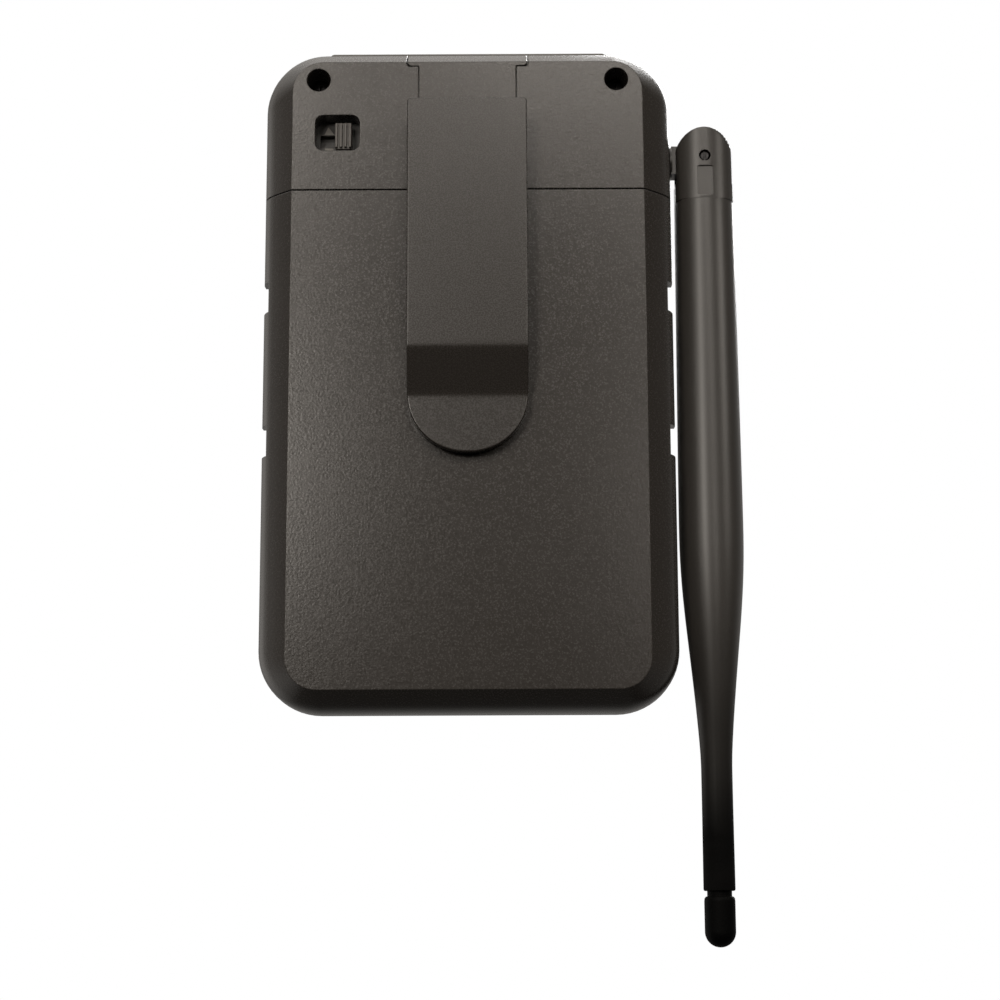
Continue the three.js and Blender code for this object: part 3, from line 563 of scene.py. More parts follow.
def antenna_plastic(settings, radius):
    """Satin plastic, dark grey at the head, with painted shade that darkens it to near black over the thin
    flexible end.
    """
    tree, shader, where, wear, grain = plastic(
        "antenna_satin", settings.top_color, (0.10, 0.093, 0.085), 0.34, 2600.0, 0.00002, 0.16, radius,
        0.35, Specular_IOR_Level=0.10, Coat_Roughness=0.36)
    height = node(tree, "SeparateXYZ", {0: where}).outputs["Z"]
    # Painted shade: the colour blends from the upper colour to the near-black lower one down the sleeve,
    # with a little random tone over it; the same share also raises the roughness.
    share = remap(tree, height, 0.022, -0.028)
    cloud = remap(tree, noise(tree, where, 90.0), 0.3, 0.7, -0.05, 0.05)
    painted_shade_and_tone = plus(tree, share, cloud, clamp=True)
    shade = blended(tree, painted_shade_and_tone, opaque(settings.top_color), opaque(settings.shaded_tip_color))
    send(tree, wear, Color=shade)
    send(tree, grain, Roughness=remap(tree, share, 0.0, 1.0, 0.37, 0.85))
    send(tree, shader, **{"Coat Weight": remap(tree, share, 0.0, 1.0, 0.9, 0.0)})


def metal(name, color, roughness, stretch, depth=0.00001):
    tree, shader, where = surface(name, Metallic=1.0)
    soft = node(tree, "Bevel", {"Radius": 0.00015}, samples=4).outputs["Normal"]
    worn = use(tree, "metal_wear", {"Vector": where, "Color": opaque(color), "Roughness": roughness,
                                    "Stretch": stretch, "Depth": depth, "Normal": soft})
    finish(tree, shader, *worn.outputs)


def glass(name, color, roughness, amount, **uniform):
    tree, shader, where = surface(name, Base_Color=opaque(color), **uniform)
    marks = use(tree, "smudge", {"Vector": where, "Roughness": roughness, "Amount": amount})
    send(tree, shader, Roughness=marks.outputs[0])


def milky_plastic(color):
    """Milky moulded polythene of the sensor dome and the light pipe."""
    tree, shader, where = surface("milky_plastic", Subsurface_Weight=0.35, Subsurface_Scale=0.002,
                                  IOR=1.5)
    darker = [c * 0.9 for c in color]
    shade = blended(tree, noise(tree, where, 320.0, 4.0), opaque(color), opaque(darker))
    marks = use(tree, "smudge", {"Vector": where, "Roughness": 0.3, "Amount": 0.12})
    ripple = node(tree, "TexVoronoi", {"Vector": where, "Scale": 420.0}).outputs["Distance"]
    rings = node(tree, "Math", {0: times(tree, ripple, 46.0)}, operation="SINE").outputs[0]
    finish(tree, shader, shade, marks.outputs[0], bumped(tree, rings, 0.00003, 0.35))


def circuit_board():
    """Green solder mask over copper tracks, with small plated holes."""
    tree, shader, where = surface("circuit_board", IOR=1.5)
    tracks = node(tree, "TexVoronoi", {"Vector": where, "Scale": 430.0}, distance="MANHATTAN",
                  feature="DISTANCE_TO_EDGE").outputs["Distance"]
    track = remap(tree, tracks, 0.06, 0.035)
    holes = node(tree, "TexVoronoi", {"Vector": where, "Scale": 330.0}).outputs["Distance"]
    hole = remap(tree, holes, 0.13, 0.10)
    cloud = noise(tree, where, 700.0, 3.0)
    mask_color = blended(tree, cloud, (0.006, 0.055, 0.022, 1), (0.010, 0.085, 0.034, 1))
    tracked = blended(tree, track, mask_color, (0.025, 0.17, 0.065, 1))
    shade = blended(tree, hole, tracked, (0.62, 0.42, 0.16, 1))
    height = plus(tree, times(tree, track, 0.6), times(tree, hole, -1.0))
    dull = plus(tree, remap(tree, cloud, 0.3, 0.7, 0.28, 0.4), times(tree, hole, 0.08))
    finish(tree, shader, shade, dull, bumped(tree, height, 0.00005, 0.7))


class CAMERA_OT_finishes(bpy.types.Operator):
    """Makes the shared effects and every material."""

    bl_idname = "trailcam.finishes"
    bl_label = "Finishes"

    def execute(self, context):
        scene = context.scene
        case, optics, cells = scene.trailcam_case, scene.trailcam_optics, scene.trailcam_cells
        for make in (make_spark_grain, make_edge_wear_and_sheen, make_metal_wear, make_smudge):
            make()
        scale = 1 / case.grain_size
        radius = case.edge_radius
        # Each plastic's second colour is its edge colour; lightening edges towards it is partly wear and
        # partly painted highlight.
        plastic("moulded_shell", case.shell_color, (0.10, 0.09, 0.08), 0.25, scale, case.grain_depth,
                0.27, radius, 0.30)
        plastic("clip_moulding", case.clip_color, (0.10, 0.09, 0.08), 0.27, scale * 1.25,
                case.grain_depth * 0.8, 0.22, radius, 0.35)
        antenna_plastic(scene.trailcam_antenna, radius)
        # The cap takes the near-black lower colour, which is partly painted shade.
        plastic("cap_rubber", scene.trailcam_antenna.shaded_tip_color, (0.012, 0.011, 0.010), 0.6, 2400.0,
                0.00004, 0.2, radius, 0.4, Specular_IOR_Level=0.06)
        plastic("liner_plastic", (0.026, 0.024, 0.022), (0.09, 0.085, 0.08), 0.5, 1800.0, 0.00004, 0.2,
                radius * 0.7, 0.35)
        plastic("knob_plastic", (0.075, 0.068, 0.061), (0.2, 0.185, 0.17), 0.45, 2400.0, 0.00003, 0.2,
                radius * 0.6, 0.5)
        plastic("switch_mark", (0.15, 0.14, 0.125), (0.2, 0.185, 0.17), 0.5, 2400.0, 0.00003, 0.15,
                radius * 0.4, 0.3)
        plastic("soft_rubber", case.rubber_color, (0.17, 0.16, 0.15), 0.72, 1500.0, 0.00006, 0.2,
                radius, 0.25, Sheen_Weight=0.2, Sheen_Roughness=0.5)
        plastic("seal_rubber", (0.016, 0.016, 0.015), (0.05, 0.05, 0.048), 0.68, 1500.0, 0.00005, 0.25,
                radius, 0.2)
        plastic("cell_wrap", cells.wrap_color, (0.12, 0.12, 0.12), 0.26, 700.0, 0.000002, 0.05,
                radius, 0.2, Coat_Weight=0.35, Coat_Roughness=0.15)
        plastic("cell_band", cells.band_color, (0.6, 0.4, 0.2), 0.24, 700.0, 0.000002, 0.04,
                radius, 0.2, Coat_Weight=0.35, Coat_Roughness=0.15)
        metal("bright_steel", (0.62, 0.62, 0.60), 0.24, (1.0, 1.0, 0.1))
        metal("black_oxide", (0.045, 0.044, 0.045), 0.36, (1.0, 0.15, 1.0), 0.00002)
        metal("nickel_plate", (0.52, 0.52, 0.49), 0.30, (0.1, 1.0, 1.0))
        metal("gold_plate", (0.83, 0.58, 0.24), 0.28, (1.0, 1.0, 0.15))
        metal("shield_tin", (0.56, 0.57, 0.57), 0.38, (0.12, 1.0, 1.0))
        glass("clear_glass", (0.90, 0.94, 0.98), 0.01, 0.03, Transmission_Weight=1.0, IOR=1.5)
        glass("coated_glass", (0.62, 0.70, 0.95), 0.01, 0.02, Transmission_Weight=0.9, IOR=1.62,
              Coat_Weight=0.6, Coat_Roughness=0.03, Coat_Tint=(0.55, 0.5, 1.0, 1.0))
        glass("window_glass", optics.window_color, 0.03, 0.06, Alpha=0.55, IOR=1.49)
        glass("led_resin", (0.34, 0.36, 0.50), 0.06, 0.05, Transmission_Weight=0.65, IOR=1.53)
        milky_plastic(optics.dome_color)
        circuit_board()
        return {"FINISHED"}


# ------------------------------------------------------------------ pieces


class CAMERA_OT_case(bpy.types.Operator):
    """Finishes the CAD pieces that keep their shape."""

    bl_idname = "trailcam.case"
    bl_label = "Case"

    FINISH = {
        "moulded_shell": ("rear_housing", "front_shell", "battery_cover", "clip_foot"),
        "liner_plastic": ("battery_tray", "lens_holder", "filter_slider", "switch_body"),
        "seal_rubber": ("case_gasket", "bay_gasket", "antenna_lead"),
        "nickel_plate": ("contact_upper_a", "contact_upper_b", "contact_lower", "terminal_negative",
                         "terminal_positive", "usb_port", "card_socket"),
        "antenna_satin": ("antenna_knuckle",),
        "shield_tin": ("processor_shield", "radio_module"),
        "circuit_board": ("main_board", "image_sensor"),
    }

    def execute(self, context):
        for material, names in self.FINISH.items():
            for name in names:
                finish_cad(name, material)
        return {"FINISHED"}


def soft_ramp(t, softness=0.05):
    """Rises from 0 to 1 between t = 0 and t = 1, with rounded corners."""
    def bend(s):
        return math.sqrt(s * s + softness * softness)
    return (bend(t) - bend(t - 1) + 1) / 2


class CAMERA_OT_clip(bpy.types.Operator):
    """Makes the clip's sprung arm, its pin and its spring."""

    bl_idname = "trailcam.clip"
    bl_label = "Belt clip"

    def execute(self, context):
        s = context.scene.trailcam_clip
        piece("clip_arm_moulding", self.arm(s.edge_radius / MM), "clip_moulding", "clip_blade",
              ["clip_arm"])
        y, z = CLIP_PIVOT
        piece("clip_hinge_pin", pin(1, 0.75, 9.9, (0, y, z), "x", 32), "bright_steel", "clip_base",
              ["clip_pin"])
        turns, long = 8, 8.4
        spring = moved(coil(1.75, s.wire_radius / MM, turns, long), (-long / 2, y, z), "x")
        piece("clip_coil_spring", spring, "bright_steel", "clip_base", ["clip_spring"])
        return {"FINISHED"}

    def arm(self, radius):
        bend_top, bend_low = 75.3, 65.8
        bm = bmesh.new()
        verts = [bm.verts.new((x, 0, z)) for x, z in rectangle(-CLIP_HALF, CLIP_TIP, CLIP_HALF, CLIP_TOP)]
        bm.faces.new(verts)
        cut_corners(bm, verts[:2], 12.4, 28)
        cut_corners(bm, verts[2:], 0.7, 5)
        for bend in (bend_top, bend_low):
            for step in range(-5, 7):
                bmesh.ops.bisect_plane(bm, geom=bm.verts[:] + bm.edges[:] + bm.faces[:], dist=1e-5,
                                       plane_co=(0, 0, bend + step * 0.3), plane_no=(0, 0, 1))
        inner = bm.verts[:]
        outer = fresh(bmesh.ops.extrude_face_region(bm, geom=bm.faces[:]))
        for side, gap, shift in ((inner, 0, 1), (outer, CLIP_THICK, 0)):
            for vert in side:
                share = soft_ramp((vert.co.z - bend_low - shift) / (bend_top - bend_low))
                vert.co.y = CLIP_TIP_GAP + gap + (CLIP_GAP - CLIP_TIP_GAP) * share
        bmesh.ops.recalc_face_normals(bm, faces=bm.faces)
        rounded(bm, radius, 60, 4)
        y, z = CLIP_PIVOT
        inside = CLIP_GAP + 0.5
        cheek = ((inside, z - 4.5), (y - 0.9, z - 1.7), (y - 1.7, z - 0.6), (y - 1.7, z + 0.6),
                 (y - 0.9, z + 1.7), (inside, z + 4.5))
        cheeks = joined(prism(cheek, 8, 9.6, "x"), prism(cheek, -9.6, -8, "x"))
        return joined(bm, carved(cheeks, rod(1.12, -12, 12, (0, y, z), "x", 32)))


def at_height(table, height):
    """Smooth values from a table of (height, value, value) rows."""
    last = len(table) - 1
    k = next((k for k in range(last) if height <= table[k + 1][0]), last - 1)
    before, low, high, after = table[max(k - 1, 0)], table[k], table[k + 1], table[min(k + 2, last)]
    span = high[0] - low[0]
    t = min(1, max(0, (height - low[0]) / span))
    result = []
    for i in (1, 2):
        rise_low = (high[i] - before[i]) / (high[0] - before[0]) * span
        rise_high = (after[i] - low[i]) / (after[0] - low[0]) * span
        result.append((2 * t**3 - 3 * t**2 + 1) * low[i] + (t**3 - 2 * t**2 + t) * rise_low
                      + (3 * t**2 - 2 * t**3) * high[i] + (t**3 - t**2) * rise_high)
    return result


class CAMERA_OT_antenna(bpy.types.Operator):
    """Makes the antenna's sleeve with its forked head, its cap, its pin and its nut."""

    bl_idname = "trailcam.antenna"
    bl_label = "Antenna"

    def execute(self, context):
        s = context.scene.trailcam_antenna
        x, y, z = ELBOW
        piece("antenna_sleeve", self.sleeve(s.sides), "antenna_satin", "antenna_rod",
              ["antenna_mast"])
        base = -37.3
        end = -48.1
        radius = 3.25
        dome = [(radius * math.cos(a), end + radius * (1 - math.sin(a)))
                for a in (math.radians(6 * k) for k in range(15))]
        profile = [(0, base + 1.5), (2.6, base + 1.5), (2.6, base - 0.3), (2.95, base - 0.4),
                   (3.18, base - 0.75), (radius, base - 1.3), *dome, (0, end)]
        piece("antenna_cap", turned(profile, (x, y, 0), "z", s.sides), "cap_rubber", "antenna_rod",
              ["antenna_tip"], 40)
        half = 5.0
        slots = [prism(rectangle(x - 0.18, z - 2, x + 0.18, z + 2), end - 0.25, end + 0.25)
                 for end in (y - half, y + half)]
        piece("antenna_hinge_pin", carved(pin(1.15, 0.85, half, ELBOW, "back", 32), *slots), "black_oxide",
              "antenna_base", ["antenna_pin"])
        hexagon = [(y + 3.95 * math.cos(math.radians(60 * k)), z + 3.95 * math.sin(math.radians(60 * k)))
                   for k in range(6)]
        nut = rounded(prism(hexagon, -44.6, -43.1, "x"), 0.22, 30, 3)
        barrel = ring([(2.3, -44.7), (2.9, -44.7), (3.05, -44.5), (3.05, -38.4), (2.85, -38.2),
                       (2.3, -38.2)], (0, y, z), "x", 40)
        bore = rod(2.6, -46, -41, (0, y, z), "x", 40)
        piece("antenna_nut", joined(carved(nut, bore), barrel), "nickel_plate", "case",
              ["antenna_bushing"])
        return {"FINISHED"}

    def sleeve(self, sides):
        """Unit rings drawn up one by one, then set to the sleeve's width and depth at each height."""
        low = MAST[0][0]
        heights = sorted([low, low + 0.12, low + 0.35, *(low + 2.6 * k for k in range(1, 58)), -10.0, -9.72])
        mast_rings = len(heights)
        heights += [HEAD_STEP, -6, -3, HEAD_CURVE]
        heights += [HEAD_TOP * math.sin(math.radians(a)) for a in range(-10, 91, 4)]
        bm = bmesh.new()
        made = bmesh.ops.create_circle(bm, segments=sides, radius=1)
        edges = list({edge for vert in made["verts"] for edge in vert.link_edges})
        for _ in heights[1:]:
            drawn = bmesh.ops.extrude_edge_only(bm, edges=edges)
            edges = fresh(drawn, bmesh.types.BMEdge)
            bmesh.ops.translate(bm, verts=fresh(drawn), vec=(0, 0, 1))
        bmesh.ops.holes_fill(bm, edges=[edge for edge in bm.edges if max(v.co.z for v in edge.verts) < 0.5])
        for vert in bm.verts:
            across, deep, level = vert.co
            height = heights[round(level)]
            if round(level) < mast_rings:
                wide, share = at_height(MAST, height)
                near_end = min(1, (height - low) / 0.35, (HEAD_STEP - height) / 0.3)
                wide -= 0.3 * (1 - math.sqrt(max(0, 1 - (1 - near_end) ** 2)))
                vert.co = (across * wide, deep * wide * share, height)
            else:
                reach = 6.4
                if height > HEAD_CURVE:
                    reach = min(reach, math.sqrt(max(0, HEAD_TOP**2 - height**2)))
                vert.co = (max(-reach, min(reach, across * 6.9)), deep * HEAD_DEPTH, height)
        bmesh.ops.remove_doubles(bm, verts=bm.verts, dist=1e-3)
        bmesh.ops.dissolve_degenerate(bm, edges=bm.edges, dist=1e-4)
        bmesh.ops.recalc_face_normals(bm, faces=bm.faces)
        slot = prism(rectangle(-9, -5.6, 9, 9), -2.45, 2.45)
        hole = rod(1.3, -8, 8, axis="back", steps=32)
        pockets = [prism(rectangle(-1.75, -9.1, 1.75, -2.3), side * 5.05, side * 7, corner=0.5, steps=4)
                   for side in (-1, 1)]
        bore = rod(2.72, low - 1, low + 1.1, steps=40)
        bm = carved(bm, slot, hole, *pockets, bore)
        bmesh.ops.holes_fill(bm, edges=[edge for edge in bm.edges if edge.is_boundary])
        bmesh.ops.translate(bm, verts=bm.verts, vec=ELBOW)
        return bm


class CAMERA_OT_screws(bpy.types.Operator):
    """Makes the four case screws with their cross recesses."""

    bl_idname = "trailcam.screws"
    bl_label = "Case screws"

    def execute(self, context):
        seat, top, pitch = -8.88, -7.0, 1.2
        for number, (x, z) in enumerate(SCREWS, 1):
            head = turned([(0, seat), (2.4, seat), (2.4, top - 0.75), (2.2, top - 0.35), (1.7, top - 0.1),
                           (0.9, top), (0, top)], (x, 0, z), "back", 40)
            wings = [prism(rectangle(x - w, z - h, x + w, z + h), top - 1.1, top + 1)
                     for w, h in ((1.45, 0.3), (0.3, 1.45))]
            threads = []
            for k in range(18):
                level = seat - pitch - k * pitch
                threads += [(1.08, level + 0.42), (1.38, level + 0.1), (1.38, level - 0.05),
                            (1.08, level - 0.35)]
            shank = turned([(0, seat + 0.2), (1.15, seat + 0.2), *threads, (1.0, -32), (0.5, -33), (0, -33)],
                           (x, 0, z), "back", 24)
            piece(f"case_screw_cross_{number}", joined(carved(head, *wings), shank), "black_oxide", "case",
                  [f"case_screw_{number}"])
        return {"FINISHED"}


class CAMERA_OT_switch(bpy.types.Operator):
    """Makes the ribbed power knob, the dark plate under it and the small raised marks beside it."""

    bl_idname = "trailcam.switch"
    bl_label = "Power switch"

    def execute(self, context):
        x0, x1, z0, z1 = 25.2, 28.8, 121.9, 127.9
        base = rounded(prism(rectangle(x0, z0, x1, z1), -5.2, -1.9, corner=0.5, steps=5), 0.18, 60, 3)
        stem = prism(rectangle(x0 + 1, z0 + 2, x1 - 1, z1 - 2), -6.8, -5)
        parts = [base, stem]
        for k in range(4):
            left = x0 + 0.02 + k * 0.985
            rib = prism(rectangle(left, z0 + 0.25, left + 0.56, z1 - 0.25), -2.2, -1.2)
            parts.append(rounded(rib, 0.16, 60, 3))
        piece("power_knob_ribbed", joined(*parts), "knob_plastic", "power_knob",
              ["switch_knob"])
        shroud = prism(rectangle(23.1, 120.7, 33.2, 129.2), -5.48, -5.35, corner=0.8, steps=4)
        track = prism(rectangle(25.9, 123.6, 32.2, 126.2), -6, -5)
        piece("switch_shroud", carved(shroud, track), "liner_plastic", "case")
        marks = [prism(outline, -5.34, -5.26) for outline in (
            ((29.2, 126.4), (31.4, 126.4), (30.5, 128.2)),
            ((29.1, 121.6), (31.5, 121.9), (31.2, 123.3), (29.4, 123.3)))]
        piece("switch_arrow", joined(*marks), "switch_mark", "case")
        return {"FINISHED"}


class CAMERA_OT_flap(bpy.types.Operator):
    """Makes the rubber flap over the ports, with its pull lip and its hinge groove."""

    bl_idname = "trailcam.flap"
    bl_label = "Port flap"

    def execute(self, context):
        half, back, front, low, top = 30.6, -9.5, -22.4, 144.25, 147.0
        plate = prism(rectangle(-half, front, half, back), low, top, "z", 1.0, 6)
        rounded(plate, 0.55, 60, 4, lambda edge: min(v.co.z for v in edge.verts) > top - 0.1)
        groove = prism(rectangle(-half - 1, back - 1.85, half + 1, back - 1.35), top - 0.45, top + 1, "z")
        grips = [prism(rectangle(-8, front + 1.1 * k, 8, front + 1.1 * k + 0.5), top - 0.3, top + 1, "z")
                 for k in (1, 2, 3)]
        plug = rounded(prism(rectangle(-26.6, -20.2, 26.6, -15), 143.5, low + 0.6, "z", 1.2, 6), 0.3, 60, 2,
                       lambda edge: max(v.co.z for v in edge.verts) < 144)
        piece("port_flap_rubber", joined(carved(plate, groove, *grips), plug), "soft_rubber", "flap",
              ["port_flap"])
        button = turned([(0, 140.9), (2.6, 140.9), (2.6, 141.6), (1.6, 141.6), (1.6, 142.9), (1.4, 143.15),
                         (0.9, 143.2), (0, 143.1)], (-20, -17.6, 0), "z", 32)
        piece("pair_button_cap", button, "knob_plastic", "pairing_button", ["pair_button"])
        card = rounded(prism(((10.7, 127.9), (21.7, 127.9), (21.7, 142.9), (12.2, 142.9), (10.7, 141.2)),
                             -17.95, -17.25), 0.12, 60, 2)
        piece("memory_card_plate", card, "liner_plastic", "case", ["memory_card"])
        return {"FINISHED"}


class CAMERA_OT_cells(bpy.types.Operator):
    """Makes the eight cells with their two-tone wraps, and the coned springs under them."""

    bl_idname = "trailcam.cells"
    bl_label = "Cells"

    def execute(self, context):
        for column in range(4):
            flip = column % 2 == 1
            axis = "down" if flip else "z"
            x = (column - 1.5) * CELL_PITCH
            for place in range(2):
                low = CELL_LOW + place * (CELL_LONG + CELL_NUB + 0.05)
                if flip:
                    low = CELL_LOW + CELL_HIGH - low
                number = column * 2 + place + 1
                cell = self.cell((x, CELL_DEPTH, low), axis)
                piece(f"cell_{number}", cell, ["cell_wrap", "cell_band", "nickel_plate"], "case",
                      [f"battery_{number}"])
            place = (x, CELL_DEPTH, 108.9 if flip else 6.45)
            spring = moved(coil(3.4, 0.3, 3, 1.35, cone=0.35), place, axis)
            piece(f"cell_coil_{column + 1}", spring, "bright_steel", "case",
                  [f"cell_spring_{column + 1}"])
        return {"FINISHED"}

    def cell(self, place, axis):
        """Negative end at height 0, then the wrap with its folded lips, and the nub."""
        long, radius, top, band = CELL_LONG, 7.1, CELL_LONG + CELL_NUB, CELL_LONG - 13.5
        sections = (
            (2, [(0, 0.25), (3.6, 0.25), (4.3, 0.05), (5.9, 0.05)]),
            (0, [(5.9, 0.05), (6.3, 0), (6.85, 0.12), (radius, 0.5), (radius, band)]),
            (1, [(radius, band), (radius, long - 0.7), (6.9, long - 0.2), (6.4, long), (5.6, long)]),
            (2, [(5.6, long), (5.5, long - 0.15), (3.4, long - 0.15), (2.9, long), (2.7, long + 0.3),
                 (2.65, top - 0.25), (2.4, top), (0, top)]),
        )
        return merged(joined(*(painted(turned(profile, place, axis, 40), index)
                               for index, profile in sections)))


class CAMERA_OT_optics(bpy.types.Operator):
    """Makes the lens group, the infra-red window and its lamps, and the sensor dome."""

    bl_idname = "trailcam.optics"
    bl_label = "Front optics"

    def execute(self, context):
        lens = (0, FRONT, LENS_HEIGHT)
        bezel = ring([(11.9, -2.75), (11.9, -0.1), (14.2, -0.1), (14.2, 1.05), (12.6, 2.45), (11.2, 2.45),
                      (9.6, 1.85), (9.6, 0.25), (8.6, 0.25), (8.6, -2.75)], lens, "front", 72)
        rounded(bezel, 0.18, 25, 3)
        piece("lens_ring", bezel, "liner_plastic", "case", ["lens_bezel"])
        cover = turned([(0, 0.7), (9.1, 0.7), (9.4, 0.95), (9.4, 1.3), (9.1, 1.55), (7.5, 1.68), (4, 1.77),
                        (0, 1.8)], lens, "front", 64)
        piece("lens_cover_glass", cover, "clear_glass", "case", ["lens_cover"])
        inner = (0, -31.4, LENS_HEIGHT)
        steps = [(7.6 - 0.42 * k, 6.5 - 0.2 * k) for k in range(6)]
        stairs = [point for (r, h) in steps for point in ((r, h), (r - 0.42, h))]
        barrel = turned([(0, 0), (7, 0), (7, 4), (8, 4.4), (8, 6.5), *stairs, (5.05, 5.25), (0, 5.2)],
                        inner, "front", 64)
        piece("lens_barrel_stepped", barrel, "liner_plastic", "case", ["lens_barrel"], 20)
        dome = [(5 * math.sin(math.radians(a)), 0.5 + 1.5 * math.cos(math.radians(a)))
                for a in range(88, 0, -8)]
        glass_profile = [(0, 0), (5, 0), (5, 0.5), *dome, (0, 2)]
        piece("lens_front_element", turned(glass_profile, (0, -36.7, LENS_HEIGHT), "front", 56),
              "coated_glass", "case", ["lens_element"])

        window = prism(rectangle(-31, 101, 31, 131), -39.05, -37.7, "y", 5, 12)
        rounded(window, 0.3, 60, 3, lambda edge: max(v.co.y for v in edge.verts) < -38.9)
        piece("infra_red_window", window, "window_glass", "case", ["ir_window"])
        plate = prism(rectangle(-28.4, 103.6, 28.4, 128.4), -31.6, -30.4, "y", 2, 6)
        piece("lamp_board", plate, "circuit_board", "case")
        pitch = 7.6
        lamps = [self.lamp(((column - 3) * pitch, -31.6, 108.4 + row * pitch))
                 for row in range(3) for column in range(7)]
        piece("lamp_array", joined(*lamps), ["led_resin", "nickel_plate"], "case", ["led_board"])

        piece("sensor_dome", self.dome(), "milky_plastic", "case", ["pir_lens"], 60)
        sensor = (0, FRONT, SENSOR_HEIGHT)
        collar = ring([(14.1, -0.05), (17.6, -0.05), (17.6, 0.85), (16.4, 1.85), (14.1, 1.85)], sensor,
                      "front", 80)
        rounded(collar, 0.22, 25, 3)
        piece("sensor_collar", collar, "liner_plastic", "case", ["pir_bezel"])
        can = turned([(0, 0), (5.2, 0), (5.2, 0.9), (4.6, 1), (4.6, 4.7), (4.2, 5.2), (0, 5.2)],
                     (0, -25.2, SENSOR_HEIGHT), "front", 40)
        piece("sensor_can", can, "gold_plate", "case", ["pir_sensor"])
        pipe = turned([(0, -6), (2.2, -6), (2.2, -3), (1.25, -3), (1.25, -0.15), (0.9, 0.12), (0, 0.2)],
                      (24, FRONT, 93), "front", 24)
        piece("status_light_pipe", pipe, "milky_plastic", "case", ["light_pipe"])
        return {"FINISHED"}

    def lamp(self, place):
        radius = 2.3
        dome = [(radius * math.cos(math.radians(a)), 2.1 + 2.1 * math.sin(math.radians(a)))
                for a in range(0, 90, 15)]
        profiles = ([(2.5, 0.25), (2.5, 0.9), (radius, 0.95), *dome, (0, 4.2)],
                    [(0, 0), (2.5, 0), (2.5, 0.25)])
        return merged(joined(*(painted(turned(profile, place, "front", 20), index)
                               for index, profile in enumerate(profiles))))

    def dome(self):
        """A flattened dome of six-sided lenslets on a round flange."""
        bm = bmesh.new()
        bmesh.ops.create_icosphere(bm, subdivisions=3, radius=1)
        bmesh.ops.rotate(bm, verts=bm.verts, cent=(0, 0, 0), matrix=Matrix.Rotation(0.35, 3, "X"))
        bmesh.ops.bevel(bm, geom=bm.verts[:], offset=33, offset_type="PERCENT", segments=1, profile=0.5,
                        affect="VERTICES", material=-1)
        inset = bmesh.ops.inset_individual(bm, faces=bm.faces[:], thickness=0.008, depth=0.0)
        border = set(inset["faces"])
        cells = [face for face in bm.faces if face not in border]
        poked = bmesh.ops.poke(bm, faces=cells, offset=0.0)
        for vert in bm.verts:
            vert.co.normalize()
        groove = {vert for face in border for vert in face.verts} - {
            vert for face in poked["faces"] for vert in face.verts}
        for vert in groove:
            vert.co *= 0.988
        bmesh.ops.bisect_plane(bm, geom=bm.verts[:] + bm.edges[:] + bm.faces[:], dist=1e-4,
                               plane_co=(0, 0, 0), plane_no=(0, 1, 0), clear_outer=True)
        for vert in bm.verts:
            x, y, z = vert.co
            vert.co = (x * 13.6, y * 6.6, z * 13.6)
        rim = [edge for edge in bm.edges if edge.is_boundary]
        bmesh.ops.translate(bm, verts=fresh(bmesh.ops.extrude_edge_only(bm, edges=rim)), vec=(0, 0.6, 0))
        bmesh.ops.recalc_face_normals(bm, faces=bm.faces)
        outward = sum(face.normal.dot(face.calc_center_median()) for face in bm.faces)
        if outward < 0:
            bmesh.ops.reverse_faces(bm, faces=bm.faces)
        bmesh.ops.solidify(bm, geom=bm.faces[:], thickness=0.8)
        bmesh.ops.translate(bm, verts=bm.verts, vec=(0, FRONT + 1.1 - 1.6, SENSOR_HEIGHT))
        flange = ring([(12.7, 0), (15, 0), (15, 1), (13.5, 1), (12.7, 1)],
                      (0, FRONT + 1.1, SENSOR_HEIGHT), "front", 64)
        return joined(bm, flange)


# ------------------------------------------------------------------ stage


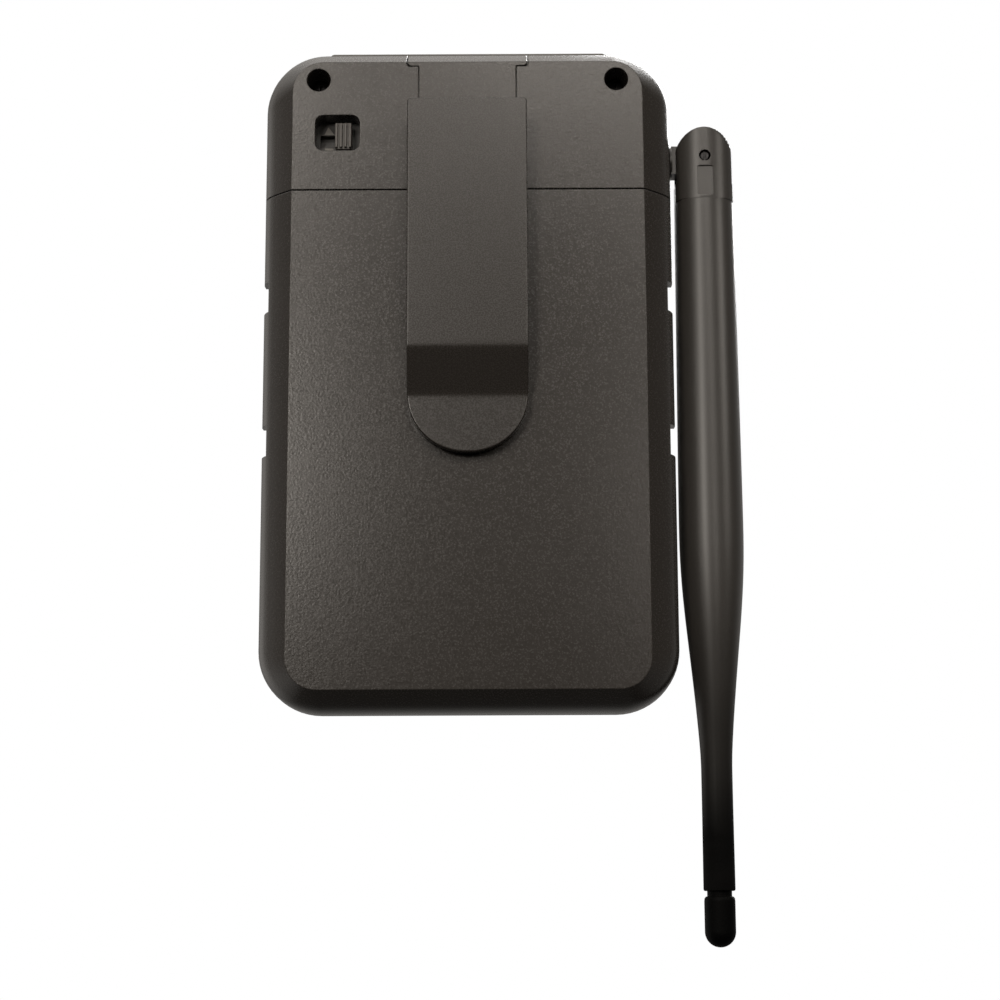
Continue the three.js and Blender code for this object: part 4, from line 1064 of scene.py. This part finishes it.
class CAMERA_OT_stage(bpy.types.Operator):
    """Makes the camera, the pale floor and the soft lights."""

    bl_idname = "trailcam.stage"
    bl_label = "Stage"

    # The camera's tilt and roll in degrees, and its place in mm.
    TILT, ROLL = 11, -0.25
    STAND = (-6.67, 441.73, -41.97)
    WARM = (1.0, 0.935, 0.855)
    FACE = (0, 0.02, 0.075)
    # Name, place, the point it is aimed at, size and colour.
    LIGHTS = (
        ("top", (-0.04, 0.62, 0.44), FACE, 0.12, WARM),
        ("high_left", (0.18, 0.62, 0.40), FACE, 0.12, WARM),
        ("high_right", (-0.18, 0.62, 0.36), FACE, 0.12, WARM),
        ("left", (0.20, 0.62, 0.18), FACE, 0.12, WARM),
        ("right", (-0.17, 0.62, 0.16), FACE, 0.12, WARM),
        ("antenna", (-0.50, 0.36, 0.26), (-0.05, 0.02, 0.09), 0.16, WARM),
        ("quarter", (0.85, 0.75, 0.30), FACE, 0.4, WARM),
        ("lens_side", (-0.35, -0.75, 0.60), (0, 0, 0.07), 0.5, (1, 1, 1)),
    )

    def execute(self, context):
        s = context.scene.trailcam_stage
        self.camera(context.scene, s.lens_mm)
        self.floor(s.floor_drop)
        self.world(context.scene)
        context.scene.view_settings.view_transform = "Standard"
        for name, place, aim, size, color in self.LIGHTS:
            self.lamp(name + "_light", place, aim, size, getattr(s, name + "_power"), color)
        return {"FINISHED"}

    def camera(self, scene, focal):
        data = bpy.data.cameras.new("camera")
        data.lens = focal
        data.sensor_width = 36
        data.clip_start = 0.01
        data.clip_end = 30
        cam = link(bpy.data.objects.new("camera", data))
        tilt, roll = math.radians(self.TILT), math.radians(self.ROLL)
        right = Vector((-1, 0, 0))
        up = Vector((0, math.sin(tilt), math.cos(tilt)))
        forward = Vector((0, -math.cos(tilt), math.sin(tilt)))
        across = math.cos(roll) * right + math.sin(roll) * up
        over = -math.sin(roll) * right + math.cos(roll) * up
        turn = Matrix((across, over, -forward)).transposed()
        spot = PLACE @ Vector(self.STAND)
        cam.matrix_world = Matrix.Translation(spot) @ turn.to_4x4()
        scene.camera = cam

    def floor(self, drop):
        bm = bmesh.new()
        bmesh.ops.create_grid(bm, x_segments=1, y_segments=1, size=1.4)
        bmesh.ops.translate(bm, vec=(0, 0, -drop), verts=bm.verts)
        floor = plain_object("floor", bm)
        tree, shader, where = surface("pale_floor", Roughness=0.7, Emission_Color=(1, 1, 1, 1),
                                      Emission_Strength=0.55)
        shade = blended(tree, noise(tree, where, 6.0), (0.85, 0.85, 0.85, 1), (0.88, 0.88, 0.88, 1))
        send(tree, shader, **{"Base Color": shade})
        floor.data.materials.append(bpy.data.materials["pale_floor"])
        floor.visible_diffuse = False
        floor.visible_glossy = False

    def world(self, scene):
        """White behind the object, and a soft glow from above and behind on the object itself."""
        world = bpy.data.worlds.new("studio")
        world.use_nodes = True
        tree = world.node_tree
        tree.nodes.clear()
        out = tree.nodes.new("ShaderNodeOutputWorld")
        ray = tree.nodes.new("ShaderNodeTexCoord").outputs["Generated"]
        way = node(tree, "SeparateXYZ", {0: ray}).outputs

        def part(axis, start, full, strength):
            return remap(tree, way[axis], start, full, 0.0, strength)

        sides = plus(tree, part("X", 0.50, 0.90, 1.05), part("X", -0.55, -0.95, 0.34))
        sides = times(tree, sides, part("Y", 0.10, -0.40, 1.0))
        above = plus(tree, part("Z", 0.5, 1.0, 1.5), sides)
        behind = plus(tree, part("Y", -0.3, -0.8, 0.30), part("Z", -0.3, -0.9, 0.06))
        strength = plus(tree, above, behind)
        glow = node(tree, "Background", {"Color": (1.0, 0.96, 0.91, 1), "Strength": strength})
        seen = node(tree, "Background", {"Color": (1, 1, 1, 1), "Strength": 1.0})
        direct = tree.nodes.new("ShaderNodeLightPath").outputs["Is Camera Ray"]
        mix = node(tree, "MixShader", {0: direct, 1: glow.outputs[0], 2: seen.outputs[0]})
        tree.links.new(mix.outputs[0], out.inputs["Surface"])
        scene.world = world

    def lamp(self, name, place, aim, size, power, color):
        lamp = bpy.data.lights.new(name, "AREA")
        lamp.shape = "SQUARE"
        lamp.size = size
        lamp.energy = power
        lamp.color = color
        ob = link(bpy.data.objects.new(name, lamp))
        ob.location = place
        ob.rotation_euler = (Vector(aim) - Vector(place)).to_track_quat("-Z", "Y").to_euler()


class CAMERA_PT_panel(bpy.types.Panel):
    """Lists the settings and the steps."""

    bl_label = "Trail camera"
    bl_idname = "CAMERA_PT_panel"
    bl_space_type = "VIEW_3D"
    bl_region_type = "UI"
    bl_category = "Trail camera"

    def draw(self, context):
        for name, group in SETTINGS:
            box = self.layout.box()
            for field in group.__annotations__:
                box.prop(getattr(context.scene, name), field)
        for step in STEPS:
            self.layout.operator(step.bl_idname)


STEPS = (
    CAMERA_OT_stage, CAMERA_OT_finishes, CAMERA_OT_case, CAMERA_OT_clip, CAMERA_OT_antenna, CAMERA_OT_screws,
    CAMERA_OT_switch, CAMERA_OT_flap, CAMERA_OT_cells, CAMERA_OT_optics,
)
CLASSES = (*(group for _, group in SETTINGS), *STEPS, CAMERA_PT_panel)


def register():
    for cls in CLASSES:
        bpy.utils.register_class(cls)
    for name, group in SETTINGS:
        setattr(bpy.types.Scene, name, PointerProperty(type=group))


def unregister():
    for name, _ in SETTINGS:
        delattr(bpy.types.Scene, name)
    for cls in reversed(CLASSES):
        bpy.utils.unregister_class(cls)


def main():
    register()
    for step in STEPS:
        group, name = step.bl_idname.split(".")
        getattr(getattr(bpy.ops, group), name)()


if __name__ == "__main__":
    main()
